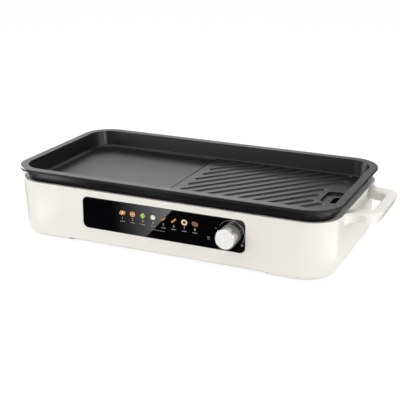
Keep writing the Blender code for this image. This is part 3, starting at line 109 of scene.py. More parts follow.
def fill(tree: Tree, node: bpy.types.Node, inputs: Inputs) -> None:
    """Set a node's inputs.

    Args:
        tree: The node tree.
        node: The node.
        inputs: A value, or a socket to join, for each input by its name or number.
    """
    for name, value in inputs.items():
        if isinstance(value, Socket):
            tree.links.new(value, node.inputs[name])
        else:
            node.inputs[name].default_value = value


def add_node(tree: Tree, kind: str, inputs: Inputs) -> bpy.types.NodeOutputs:
    """Add a node.

    Args:
        tree: The node tree.
        kind: The node's type, without its prefix.
        inputs: A value, or a socket to join, for each input by its name or number.

    Returns:
        The node's outputs.
    """
    node = tree.nodes.new("ShaderNode" + kind)
    fill(tree, node, inputs)
    return node.outputs


def combine(tree: Tree, operation: str, *values: Union[float, Socket]) -> Socket:
    """Add a sum or another operation.

    Args:
        tree: The node tree.
        operation: The operation.
        values: The numbers and sockets that it takes.

    Returns:
        The socket that carries the result.
    """
    node = tree.nodes.new("ShaderNodeMath")
    node.operation = operation
    fill(tree, node, dict(enumerate(values)))
    return node.outputs[0]


def remap(tree: Tree, value: Socket, source: Point2, target: Point2) -> Socket:
    """Add a clamped map from one span of values to another and return its socket."""
    spans = dict(zip(("From Min", "From Max", "To Min", "To Max"), (*source, *target)))
    return add_node(tree, "MapRange", {"Value": value, **spans})["Result"]


@dataclass(frozen=True)
class Finish:
    """A surface finish: its shader values and the pattern that breaks it up."""

    name: str
    colour: Colour
    roughness: float
    metallic: float = 0.0
    specular: float = 0.5
    grain: Grain = Grain.MOULDED
    scale: float = 900.0
    tint: float = 0.03
    spread: float = 0.06
    relief: float = 0.02 * MM

    def material(self) -> bpy.types.Material:
        """Return this finish's material, made once.

        Returns:
            The material, whose pattern is read in object coordinates.
        """
        made = bpy.data.materials.get(self.name)
        if made is not None:
            return made
        made = bpy.data.materials.new(self.name)
        made.use_nodes = True
        tree = made.node_tree
        pattern = self._pattern(tree)
        rough = (self.roughness * (1 - self.spread), self.roughness * (1 + self.spread))
        inputs = {"Metallic": self.metallic, "Specular IOR Level": self.specular,
                  "Base Color": self._tint(tree, pattern),
                  "Roughness": remap(tree, pattern, GRAIN_SPAN, rough)}
        if self.relief:
            bump = {"Strength": 1.0, "Distance": self.relief, "Height": pattern}
            inputs["Normal"] = add_node(tree, "Bump", bump)["Normal"]
        fill(tree, tree.nodes["Principled BSDF"], inputs)
        return made

    def _pattern(self, tree: Tree) -> Socket:
        """Add the grain's texture.

        Args:
            tree: The material's node tree.

        Returns:
            The socket that carries the grain, from 0 to 1.
        """
        place = add_node(tree, "TexCoord", {})["Object"]
        stretch = STRETCH.get(self.grain, (1.0, 1.0, 1.0))
        turned = add_node(tree, "Mapping", {"Vector": place, "Scale": stretch})["Vector"]
        detail = 4.0 if self.grain is Grain.CAST else 2.0
        return add_node(tree, "TexNoise", {"Vector": turned, "Scale": self.scale, "Detail": detail,
                                           "Roughness": GRAIN_ROUGHNESS})["Fac"]

    def _tint(self, tree: Tree, pattern: Socket) -> Socket:
        """Vary the colour a little with the grain.

        Args:
            tree: The material's node tree.
            pattern: The grain.

        Returns:
            The socket that carries the colour.
        """
        blend = tree.nodes.new("ShaderNodeValToRGB")
        low, high = blend.color_ramp.elements
        low.position, high.position = GRAIN_SPAN
        low.color = (*[part * (1 - self.tint) for part in self.colour], 1)
        high.color = (*[min(1.0, part * (1 + self.tint)) for part in self.colour], 1)
        fill(tree, blend, {"Fac": pattern})
        return blend.outputs["Color"]


CREAM = Finish("cream_moulding", (0.79, 0.765, 0.715), 0.30, specular=0.4, scale=1400, tint=0.012,
               relief=0.002 * MM)
COATED = Finish("coated_casting", (0.006, 0.006, 0.0063), 0.36, specular=0.225, grain=Grain.CAST,
                scale=1500, tint=0.25, spread=0.10, relief=0.004 * MM)
SHEET = Finish("pressed_sheet", (0.78, 0.78, 0.775), 0.48, metallic=0.05, grain=Grain.ROLLED,
               scale=1200, tint=0.05, spread=0.15, relief=0.004 * MM)
HEATER = Finish("heater_sheath", (0.30, 0.28, 0.27), 0.42, metallic=1.0, grain=Grain.CAST,
                scale=700, tint=0.15, relief=0.006 * MM)
PLATED = Finish("plated_steel", (0.62, 0.61, 0.59), 0.26, metallic=1.0, grain=Grain.POLISHED,
                scale=600, tint=0.04, relief=0.0)
CHROME = Finish("knob_chrome_side", (0.60, 0.59, 0.57), 0.22, metallic=0.8, grain=Grain.POLISHED,
                scale=300, tint=0.02, relief=0.0)
FACE = Finish("brushed_knob_face", (0.88, 0.87, 0.85), 0.42, metallic=0.15, grain=Grain.BRUSHED,
              scale=2200, tint=0.06, spread=0.12, relief=0.004 * MM)
LENS = Finish("black_gloss_lens", (0.002, 0.002, 0.0025), 0.03, specular=0.55, grain=Grain.POLISHED,
              scale=200, tint=0.05, spread=0.02, relief=0.0)
BLACK = Finish("black_moulding", (0.022, 0.022, 0.022), 0.5, scale=1100, tint=0.12)
GREY = Finish("grey_moulding", (0.30, 0.30, 0.295), 0.55, scale=1100, tint=0.05)
RUBBER = Finish("foot_rubber_skin", (0.035, 0.035, 0.035), 0.8, specular=0.3, scale=1300, tint=0.15)
BOARD = Finish("green_circuit_board", (0.02, 0.15, 0.065), 0.42, scale=500, tint=0.2)
CERAMIC = Finish("ceramic_insulator", (0.78, 0.76, 0.70), 0.65, grain=Grain.CAST, scale=1600,
                 tint=0.05)
BRASS = Finish("brass_pin", (0.70, 0.52, 0.22), 0.28, metallic=1.0, grain=Grain.ROLLED, tint=0.06)
RED = Finish("red_insulation", (0.45, 0.03, 0.025), 0.45, tint=0.08)
BLUE = Finish("blue_insulation", (0.03, 0.07, 0.36), 0.45, tint=0.08)


def ink(name: str, colour: Colour) -> Finish:
    """Return the finish of a printed colour."""
    return Finish("ink_%s" % name, colour, 0.4, specular=0.3, grain=Grain.PLAIN, scale=1800, tint=0.06,
                  relief=0.0)


INKS = {name: ink(name, colour) for name, colour in {
    "orange": (0.70, 0.28, 0.09), "cream": (0.86, 0.70, 0.48), "green": (0.18, 0.36, 0.06),
    "yellow": (0.62, 0.60, 0.12), "white": (0.74, 0.71, 0.65), "brown": (0.17, 0.065, 0.03),
    "rust": (0.25, 0.10, 0.075), "pale_grey": (0.42, 0.42, 0.41), "mid_grey": (0.20, 0.20, 0.20)}.items()}


@dataclass(frozen=True)
class Ring:
    """One rounded rectangle of a skin, by its half sizes, corner radius and height."""

    half_x: float
    half_y: float
    corner: float
    height: float

    def grown(self, spread: float, height: float) -> "Ring":
        """Return this ring offset outwards at another height."""
        return Ring(self.half_x + spread, self.half_y + spread, self.corner + spread, height)


@dataclass(frozen=True)
class Leg:
    """One leg of a bent bar: a straight run by a vector, or a bend about an upright axis through a point."""

    point: Point3
    angle: float = 0.0


class Form:
    """A mesh in the making, built with bmesh operators."""

    def __init__(self, steps: int = 12) -> None:
        """Start an empty form.

        Args:
            steps: Segments in each rounded corner.
        """
        self.bm = bmesh.new()
        self.steps = steps

    def loop(self, ring: Ring, centre: Point2, height: float, filled: bool) -> list[bmesh.types.BMEdge]:
        """Lay one ring as a loop of edges.

        Args:
            ring: The ring's sizes.
            centre: Its centre in X and Y.
            height: The height that it is laid at.
            filled: Whether its face is kept as a cap.

        Returns:
            The loop's edges.
        """
        place = Matrix.Translation((*centre, height)) @ Matrix.Diagonal((ring.half_x, ring.half_y, 1, 1))
        corners = bmesh.ops.create_grid(self.bm, x_segments=1, y_segments=1, size=1, matrix=place)["verts"]
        made = bmesh.ops.bevel(self.bm, geom=corners, offset=ring.corner, offset_type="OFFSET",
                               segments=self.steps, profile=0.5, affect="VERTICES",
                               clamp_overlap=False, material=-1)
        face = made["verts"][0].link_faces[0]
        edges = list(face.edges)
        if not filled:
            bmesh.ops.delete(self.bm, geom=[face], context="FACES_ONLY")
        return edges

    def skin(self, rings: Sequence[Ring], centre: Point2 = (0.0, 0.0), closed: bool = False,
             capped: bool = True) -> "Form":
        """Skin rings in order.

        The rings are bridged as a tall stack, so that each bridge runs one way, and then go to their heights.

        Args:
            rings: The rings, from first to last.
            centre: Their common centre.
            closed: Whether the last ring joins the first.
            capped: Whether the open ends get faces.

        Returns:
            This form.
        """
        stack = [STOREY * index for index in range(len(rings))]
        loops = [self.loop(ring, centre, height, capped and not closed and height in (stack[0], stack[-1]))
                 for ring, height in zip(rings, stack)]
        for lower, upper in zip(loops, loops[1:] + loops[:1] * closed):
            bmesh.ops.bridge_loops(self.bm, edges=lower + upper)
        for ring, height, edges in zip(rings, stack, loops):
            verts = list({vert for edge in edges for vert in edge.verts})
            bmesh.ops.translate(self.bm, verts=verts, vec=(0, 0, ring.height - height))
        return self

    def turn(self, profile: Sequence[Point2], steps: int) -> "Form":
        """Spin an open profile about Z.

        Args:
            profile: The radius and height of its points, in millimetres.
            steps: Segments round the axis.

        Returns:
            This form.
        """
        verts = [self.bm.verts.new((radius * MM, 0, height * MM)) for radius, height in profile]
        edges = [self.bm.edges.new(pair) for pair in zip(verts, verts[1:])]
        bmesh.ops.spin(self.bm, geom=verts + edges, cent=(0, 0, 0), axis=(0, 0, 1), angle=2 * math.pi,
                       steps=steps, use_merge=True)
        bmesh.ops.remove_doubles(self.bm, verts=self.bm.verts, dist=WELD)
        return self

    def sector(self, inner: float, outer: float, low: float, high: float, start: float,
               angle: float, steps: int = 32) -> "Form":
        """Add part of a flat ring about Z.

        Args:
            inner: Its inner radius.
            outer: Its outer radius.
            low: Its underside.
            high: Its top.
            start: The angle that it starts at.
            angle: The angle that it covers.
            steps: Segments round it.

        Returns:
            This form.
        """
        size = Matrix.Diagonal((outer - inner, high - low, 1, 1))
        place = Matrix.Translation(((inner + outer) / 2, 0, (low + high) / 2))
        upright = Matrix.Rotation(start, 4, "Z") @ place @ Matrix.Rotation(QUARTER, 4, "X") @ size
        verts = bmesh.ops.create_grid(self.bm, x_segments=1, y_segments=1, size=0.5, matrix=upright)["verts"]
        face = verts[0].link_faces[0]
        bmesh.ops.spin(self.bm, geom=[face, *face.edges, *verts], cent=(0, 0, 0), axis=(0, 0, 1),
                       angle=angle, steps=steps, use_merge=False)
        return self

    def disc(self, radius: float, low: float, high: float, centre: Point2 = (0.0, 0.0),
             steps: int = 24) -> "Form":
        """Add an upright cylinder.

        Args:
            radius: Its radius.
            low: Its foot.
            high: Its top.
            centre: Its centre in X and Y.
            steps: Segments round it.

        Returns:
            This form.
        """
        place = Matrix.Translation((*centre, (low + high) / 2))
        bmesh.ops.create_cone(self.bm, cap_ends=True, segments=steps, radius1=radius, radius2=radius,
                              depth=high - low, matrix=place)
        return self

    def box(self, size: Sequence[float], centre: Sequence[float], edge: float = 0.0) -> "Form":
        """Add a box on its centre.

        Args:
            size: Its three lengths.
            centre: Its centre.
            edge: The width that its edges are rounded by.

        Returns:
            This form.
        """
        place = Matrix.Translation(centre) @ Matrix.Diagonal((*size, 1))
        verts = bmesh.ops.create_cube(self.bm, size=1, matrix=place)["verts"]
        if edge:
            bevel(self.bm, list({item for vert in verts for item in vert.link_edges}), edge)
        return self

    def plate(self, size: Point2, corner: float, low: float, high: float, edge: float) -> "Form":
        """Add a plate with rounded corners about Z.

        Args:
            size: Its length and width.
            corner: The radius of its corners.
            low: Its underside.
            high: Its top.
            edge: The radius that its upper edge is rounded by.

        Returns:
            This form.
        """
        ring = Ring(size[0] / 2, size[1] / 2, corner, low)
        rounded = [ring.grown(-grow, high - shrink) for grow, shrink in quarter(edge, 4)]
        return self.skin([ring, *rounded])

    def pipe(self, radius: float, start: Vector, legs: Sequence[Leg]) -> "Form":
        """Draw a round bar that starts along +X.

        Args:
            radius: The bar's radius.
            start: The centre of its first end.
            legs: Its straight runs and its bends, in order.

        Returns:
            This form.
        """
        place = Matrix.Translation(start) @ Matrix.Rotation(QUARTER, 4, "Y")
        verts = bmesh.ops.create_circle(self.bm, cap_ends=True, radius=radius, segments=PIPE_SIDES,
                                        matrix=place)["verts"]
        end = [verts[0].link_faces[0]]
        for leg in legs:
            geom = [*end, *end[0].edges, *end[0].verts]
            if leg.angle:
                made = bmesh.ops.spin(self.bm, geom=geom, cent=leg.point, axis=(0, 0, 1), angle=leg.angle,
                                      steps=BEND_STEPS, use_merge=False)["geom_last"]
            else:
                made = bmesh.ops.extrude_face_region(self.bm, geom=geom)["geom"]
                verts = [item for item in made if isinstance(item, bmesh.types.BMVert)]
                bmesh.ops.translate(self.bm, verts=verts, vec=leg.point)
            end = [item for item in made if isinstance(item, bmesh.types.BMFace)]
        return self

    def figures(self, text: str, size: float, low: float, high: float) -> "Form":
        """Add plain figures about Z.

        Args:
            text: The figures.
            size: Their height of type.
            low: Their underside.
            high: Their top.

        Returns:
            This form.
        """
        curve = bpy.data.curves.new("figures", "FONT")
        curve.body = text
        curve.size = size
        curve.align_x = "CENTER"
        curve.align_y = "CENTER"
        curve.extrude = (high - low) / 2
        curve.resolution_u = FIGURE_STEPS
        typed = put("figures", curve)
        graph = bpy.context.evaluated_depsgraph_get()
        carrier = bpy.data.meshes.new_from_object(typed.evaluated_get(graph))
        other = Form()
        other.bm.from_mesh(carrier)
        bmesh.ops.remove_doubles(other.bm, verts=other.bm.verts, dist=WELD)
        bpy.data.objects.remove(typed)
        bpy.data.curves.remove(curve)
        bpy.data.meshes.remove(carrier)
        return self.join(other.move(Matrix.Translation((0, 0, (low + high) / 2))))

    def move(self, matrix: Matrix) -> "Form":
        """Transform the whole form and return it."""
        bmesh.ops.transform(self.bm, matrix=matrix, verts=self.bm.verts)
        return self

    def join(self, other: "Form") -> "Form":
        """Take over another form's geometry.

        Args:
            other: The other form, which is used up.

        Returns:
            This form.
        """
        carrier = bpy.data.meshes.new("carrier")
        other.bm.to_mesh(carrier)
        other.bm.free()
        self.bm.from_mesh(carrier)
        bpy.data.meshes.remove(carrier)
        return self

    def absorb(self, obj: bpy.types.Object) -> "Form":
        """Take over an object's mesh and remove the object.

        Args:
            obj: The object.

        Returns:
            This form.
        """
        self.bm.from_mesh(obj.data)
        discard(obj)
        return self

    def solid(self, name: str) -> bpy.types.Object:
        """Turn the form into an object with outward faces, and free it.

        Args:
            name: The object's name.

        Returns:
            The object.
        """
        bmesh.ops.recalc_face_normals(self.bm, faces=self.bm.faces)
        mesh = bpy.data.meshes.new(name)
        self.bm.to_mesh(mesh)
        self.bm.free()
        return put(name, mesh)


def put(name: str, data: bpy.types.ID) -> bpy.types.Object:
    """Add an object to the scene.

    Args:
        name: Its name.
        data: Its mesh, curve, lamp or camera data.

    Returns:
        The object.
    """
    obj = bpy.data.objects.new(name, data)
    bpy.context.scene.collection.objects.link(obj)
    return obj


def discard(obj: bpy.types.Object) -> None:
    """Remove an object and its mesh.

    Args:
        obj: The object.
    """
    mesh = obj.data
    bpy.data.objects.remove(obj)
    bpy.data.meshes.remove(mesh)


def carve(target: bpy.types.Object, cutter: Form, operation: str = "DIFFERENCE") -> None:
    """Cut or join a form into an object and keep the plain mesh.

    Args:
        target: The object that is changed.
        cutter: The form that cuts or joins it, which is used up.
        operation: The Boolean operation.
    """
    tool = cutter.solid("cutter")
    modifier = target.modifiers.new("carve", "BOOLEAN")
    modifier.operation = operation
    modifier.solver = "EXACT"
    modifier.object = tool
    graph = bpy.context.evaluated_depsgraph_get()
    result = bpy.data.meshes.new_from_object(target.evaluated_get(graph))
    target.modifiers.clear()
    old = target.data
    target.data = result
    bpy.data.meshes.remove(old)
    discard(tool)


def bevel(bm: bmesh.types.BMesh, edges: list[bmesh.types.BMEdge], width: float, segments: int = 3) -> None:
    """Round edges of a mesh by a width."""
    bmesh.ops.bevel(bm, geom=edges, offset=width, offset_type="OFFSET", segments=segments, profile=0.5,
                    affect="EDGES", clamp_overlap=True, material=-1)


def slice_across(bm: bmesh.types.BMesh, x: float, clear: bool = False) -> list[bmesh.types.BMEdge]:
    """Cut a mesh by a plane across X.

    Args:
        bm: The mesh.
        x: Where the plane stands.
        clear: Whether what lies to the left of it goes.

    Returns:
        The edges on the plane.
    """
    cut = bmesh.ops.bisect_plane(bm, geom=[*bm.verts, *bm.edges, *bm.faces], dist=WELD,
                                 plane_co=(x, 0, 0), plane_no=(-1 if clear else 1, 0, 0),
                                 clear_outer=clear)["geom_cut"]
    return [item for item in cut if isinstance(item, bmesh.types.BMEdge)]


def round_edges(obj: bpy.types.Object, width: float, chosen: Callable[[bmesh.types.BMEdge], bool]) -> None:
    """Round the edges of an object that a test picks.

    Args:
        obj: The object.
        width: The width of the rounding.
        chosen: The test that an edge has to pass.
    """
    bm = bmesh.new()
    bm.from_mesh(obj.data)
    bevel(bm, [edge for edge in bm.edges if chosen(edge)], width, segments=2)
    bm.to_mesh(obj.data)
    bm.free()


def sharp(edge: bmesh.types.BMEdge, angle: float = SHARP_ANGLE) -> bool:
    """Return whether an edge has two faces that meet at more than an angle."""
    return len(edge.link_faces) == 2 and edge.calc_face_angle(0.0) > angle


def finish_piece(obj: bpy.types.Object, finish: Finish, body: Body,
                 nodes: Iterable[str] = (), smooth: float = 35.0) -> None:
    """Shade and dress a finished piece, hang it on its body and hide the nodes that it stands for.

    Args:
        obj: The piece, in place.
        finish: Its finish.
        body: The body that it rides on.
        nodes: The CAD nodes that it stands for.
        smooth: Faces that meet under this angle, in degrees, are shaded as one surface.
    """
    obj.data.materials.clear()
    obj.data.materials.append(finish.material())
    obj.data.shade_smooth()
    obj.data.set_sharp_from_angle(angle=math.radians(smooth))
    weighted = obj.modifiers.new("weighted normals", "WEIGHTED_NORMAL")
    weighted.keep_sharp = True
    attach(obj, body.value)
    nodes = tuple(nodes)
    if nodes:
        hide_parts(*nodes)
    LOG.info("%s: %d faces, on %s", obj.name, len(obj.data.polygons), body.value)


def facing(place: Sequence[float], inward: int = 1) -> Matrix:
    """Return the matrix that stands a flat form up.

    Args:
        place: Where its centre goes.
        inward: 1 where its +Z turns to -Y, as on the front wall, or -1 where it turns to +Y.

    Returns:
        The matrix.
    """
    return Matrix.Translation(place) @ Matrix.Rotation(inward * QUARTER, 4, "X")


def ramp(value: float) -> float:
    """Return a smooth step from 0 to 1."""
    value = min(max(value, 0.0), 1.0)
    return value * value * (3 - 2 * value)


def arc(count: int) -> list[float]:
    """Return even angles from 0 to a quarter turn, ends included."""
    return [QUARTER * step / count for step in range(count + 1)]


def quarter(radius: float, count: int) -> list[Point2]:
    """Return offsets along a quarter round: the first grows to the radius as the second shrinks from it."""
    return [(radius * (1 - math.cos(turn)), radius * (1 - math.sin(turn))) for turn in arc(count)]


def numbered(name: str, count: int) -> list[str]:
    """Return a name with each number from 1 to a count."""
    return ["%s_%d" % (name, index) for index in range(1, count + 1)]


def middle_of(node: str) -> Point3:
    """Return the middle of a node's box."""
    return tuple((low + high) / 2 for low, high in zip(*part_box(node)))


def extent_of(node: str) -> Point3:
    """Return the three lengths of a node's box."""
    return tuple(high - low for low, high in zip(*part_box(node)))


def foot_of(node: str) -> Matrix:
    """Return the matrix that moves to the middle of a node's foot."""
    x, y, _ = middle_of(node)
    return Matrix.Translation((x, y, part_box(node)[0].z))


@dataclass
class Piece:
    """Sizes that every sub-assembly takes from the frame."""

    lip_rise: float = field(default=2.2 * MM, init=False)
    centre_y: float = field(init=False)
    tub_low: Vector = field(init=False)
    tub_high: Vector = field(init=False)
    pan_low: Vector = field(init=False)
    pan_high: Vector = field(init=False)

    def __post_init__(self) -> None:
        """Read the tub's and the pan's boxes."""
        self.tub_low, self.tub_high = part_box("housing_shell")
        self.tub_high.z += self.lip_rise
        self.pan_low, self.pan_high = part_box("grill_pan")
        self.centre_y = (self.tub_low.y + self.tub_high.y) / 2

    @property
    def middle(self) -> Point2:
        """The centre of the tub and the pan in X and Y."""
        return (0.0, self.centre_y)


@dataclass
class CastPan(Piece):
    """The coated pan: rim, walls, raised field with diagonal grooves, sump, drain slot and spout."""

    depth: float = 26 * MM
    floor: float = 4 * MM
    wall: float = 3 * MM
    draft: float = 4 * MM
    fillet: float = 4 * MM
    base_round: float = 2 * MM
    rim_corner: float = 44 * MM
    rim_end: float = 11.4 * MM
    rim_side: float = 13 * MM
    rim_thickness: float = 4 * MM
    rim_round: float = 1.1 * MM
    rim_inner_share: float = 0.7
    field_left: float = -19 * MM
    field_rise: float = 2 * MM
    field_edge: float = 0.7 * MM
    field_inset: float = 0.5 * MM
    divider_width: float = 1.5 * MM
    divider_shift: float = 3 * MM
    groove_angle: float = math.radians(49.3)
    groove_pitch: float = 17.3 * MM
    groove_width: float = 9.6 * MM
    groove_floor: float = 5.0 * MM
    groove_depth: float = 1.9 * MM
    groove_first: float = -73.6 * MM
    groove_left: float = -7 * MM
    groove_right: float = 205 * MM
    groove_run_out: float = 9 * MM
    groove_gap: float = 0.9 * MM
    groove_profile: tuple[Point2, ...] = (
        (-0.30, 0.0), (0.0, 0.06), (0.25, 0.20), (0.55, 0.48), (0.80, 0.74), (1.00, 0.875),
        (1.25, 0.94), (1.55, 0.98), (1.90, 1.01), (2.0, 1.6))
    groove_count: int = 17
    sump_centre: Point2 = (206 * MM, 4 * MM)
    sump_length: float = 28 * MM
    sump_width: float = 48 * MM
    sump_corner: float = 9 * MM
    sump_depth: float = 1.6 * MM
    sump_cove: float = 1.2 * MM
    sump_mouth: float = 0.8 * MM
    sump_lip: tuple[Point2, ...] = (
        (0.1 * MM, 0.0), (0.35 * MM, 0.5 * MM), (0.9 * MM, 0.75 * MM), (1.6 * MM, 0.84 * MM),
        (2 * MM, 3 * MM))
    sump_margin: float = 6 * MM
    drain_centre: Point2 = (210.5 * MM, 0.0)
    drain_length: float = 13 * MM
    drain_width: float = 30 * MM
    spout_wall: float = 2.5 * MM
    spout_drop: float = 6 * MM

    @property
    def floor_top(self) -> float:
        """Height of the flat cooking face."""
        return self.pan_high.z - self.depth

    @property
    def underside(self) -> float:
        """Height of the pan's underside."""
        return self.floor_top - self.floor

    @property
    def field_top(self) -> float:
        """Height of the raised field."""
        return self.floor_top + self.field_rise

    def wall_ring(self, height: float, grow: float) -> Ring:
        """Return the inner wall's ring at a height, grown outwards.

        Args:
            height: The ring's height.
            grow: How far it is grown.

        Returns:
            The ring.
        """
        lean = self.draft * (self.pan_high.z - height) / self.depth
        half_x = self.pan_high.x - self.rim_end - lean
        half_y = self.pan_high.y - self.centre_y - self.rim_side - lean
        return Ring(half_x + grow, half_y + grow, self.rim_corner - self.rim_end - lean + grow, height)

    def rim_ring(self, inset: float, height: float) -> Ring:
        """Return a ring set in from the rim's outer edge."""
        return Ring(self.pan_high.x - inset, self.pan_high.y - self.centre_y - inset,
                    self.rim_corner - inset, height)

    def rings(self) -> list[Ring]:
        """List the pan's skin from its floor, over the rim and down the outside.

        Returns:
            The rings.
        """
        top, outer = self.pan_high.z, self.rim_round
        under = top - self.rim_thickness
        return [*[self.wall_ring(self.floor_top + grow, -shrink)
                  for grow, shrink in quarter(self.fillet, 7)],
                *[self.wall_ring(top - shrink, grow)
                  for grow, shrink in quarter(outer * self.rim_inner_share, 4)],
                *[self.rim_ring(shrink, top - grow) for grow, shrink in quarter(outer, 5)],
                *[self.rim_ring(grow, under + shrink) for grow, shrink in quarter(outer, 4)],
                *[self.wall_ring(under - grow, self.wall + shrink) for grow, shrink in quarter(outer, 3)],
                *[self.wall_ring(self.underside + shrink, self.wall - grow)
                  for grow, shrink in quarter(self.base_round, 4)]]

    def field_plate(self) -> Form:
        """Make the raised field that the grooves are cut in, with a rounded left edge.

        Returns:
            The field.
        """
        ring = self.wall_ring(self.floor_top, -self.field_inset)
        levels = (self.floor_top - self.floor / 2, self.field_top)
        plate = Form(steps=16).skin([ring.grown(0, level) for level in levels], self.middle)
        rim = slice_across(plate.bm, self.field_left, clear=True)
        face = bmesh.ops.contextual_create(plate.bm, geom=rim)["faces"][0]
        crest = [edge for edge in face.edges
                 if all(vert.co.z > self.field_top - WELD for vert in edge.verts)]
        bevel(plate.bm, crest, self.field_edge, segments=4)
        return plate

    def groove_spans(self) -> list[tuple[Vector, Vector]]:
        """Lay out the grooves, which stop at the sump.

        Returns:
            The centres of each groove's two round ends, in X and Y from the pan's middle.
        """
        reach = self.groove_width / 2
        lean = 1 / math.tan(self.groove_angle)
        half_y = self.wall_ring(self.floor_top, 0).half_y + self.groove_run_out
        beside = self.sump_centre[0] - self.sump_length / 2 - self.sump_margin - reach
        low_sump = self.sump_centre[1] - self.sump_width / 2 - self.sump_margin - reach
        high_sump = self.sump_centre[1] + self.sump_width / 2 + self.sump_margin + reach
        spans = []
        for index in range(self.groove_count):
            offset = self.groove_first + self.groove_pitch * index / math.sin(self.groove_angle)
            low = max(-half_y, (self.groove_left + reach - offset) / lean)
            high = min(half_y, (self.groove_right - reach - offset) / lean)
            meets = (beside - offset) / lean
            if low_sump < meets < high_sump:
                high = min(high, meets)
            elif meets < low_sump:
                high = min(high, low_sump)
            if high - low > reach:
                spans.append((Vector((offset + lean * low, low)), Vector((offset + lean * high, high))))
        return spans

    def groove(self, start: Vector, end: Vector) -> Form:
        """Return the cutter of one groove, with round ends, a coved floor and a rounded mouth.

        Args:
            start: The centre of one round end.
            end: The centre of the other.

        Returns:
            The cutter.
        """
        half, floor = self.groove_width / 2, self.groove_floor / 2
        along = end - start
        rings = []
        for spread, rise in self.groove_profile:
            width = floor + (half - floor) * spread
            rings.append(Ring(along.length / 2 + width, width, width * FULL_ROUND,
                              self.field_top - self.groove_depth * (1 - rise)))
        middle = (start + end) / 2
        turn = Matrix.Rotation(math.atan2(along.y, along.x), 4, "Z")
        place = Matrix.Translation((middle.x, middle.y + self.centre_y, 0))
        return Form(steps=6).skin(rings).move(place @ turn)

    def floor_block(self) -> Form:
        """Make the block inside the walls that the grooves stay in.

        Returns:
            The block.
        """
        ring = self.wall_ring(self.floor_top, -self.groove_gap)
        levels = (self.underside, self.floor_top + 2 * self.field_rise + self.groove_depth)
        return Form(steps=16).skin([ring.grown(0, level) for level in levels], self.middle)

    def divider(self) -> Form:
        """Make the cutter of the fine line beside the foot of the raised field.

        Returns:
            The cutter.
        """
        length = 2 * self.wall_ring(self.floor_top, -self.fillet).half_y
        place = Matrix.Translation((self.field_left - self.divider_shift, self.centre_y, self.floor_top))
        bar = Form().box((self.divider_width, length, self.divider_width), (0, 0, 0))
        return bar.move(place @ Matrix.Rotation(QUARTER / 2, 4, "Y"))

    def pocket(self) -> Form:
        """Make the sump's cutter, with a coved floor edge and a rounded mouth.

        Returns:
            The cutter.
        """
        base = Ring(self.sump_length / 2, self.sump_width / 2, self.sump_corner,
                    self.floor_top - self.sump_depth)
        rings = [base.grown(-shrink, base.height + grow) for grow, shrink in quarter(self.sump_cove, 4)]
        rings += [base.grown(spread, self.field_top - self.sump_mouth + rise)
                  for spread, rise in self.sump_lip]
        x, y = self.sump_centre
        return Form(steps=8).skin(rings, (x, y + self.centre_y))

    def slot_form(self, grow: float, levels: Sequence[float]) -> Form:
        """Return a form round the drain slot.

        Args:
            grow: How far it is grown past the slot.
            levels: Its lowest and highest level.

        Returns:
            The form.
        """
        radius = self.drain_length / 2 + grow
        x, y = self.drain_centre
        rings = [Ring(radius, self.drain_width / 2 + grow, radius * FULL_ROUND, level) for level in levels]
        return Form(steps=10).skin(rings, (x, y + self.centre_y))

    def build(self) -> None:
        """Build the pan on its body."""
        pan = Form(steps=16).skin(self.rings(), self.middle).solid("pan_casting")
        carve(pan, self.field_plate(), "UNION")
        grooves = Form()
        for start, end in self.groove_spans():
            grooves.join(self.groove(start, end))
        cutter = grooves.solid("grooves")
        carve(cutter, self.floor_block(), "INTERSECT")
        carve(pan, self.divider().absorb(cutter))
        low = self.underside - self.spout_drop
        carve(pan, self.slot_form(self.spout_wall, (low, self.underside + self.floor / 3)), "UNION")
        carve(pan, self.pocket())
        carve(pan, self.slot_form(0, (low - OVERRUN, self.field_top + OVERRUN)))
        finish_piece(pan, COATED, Body.PAN, ["grill_pan"], smooth=32)


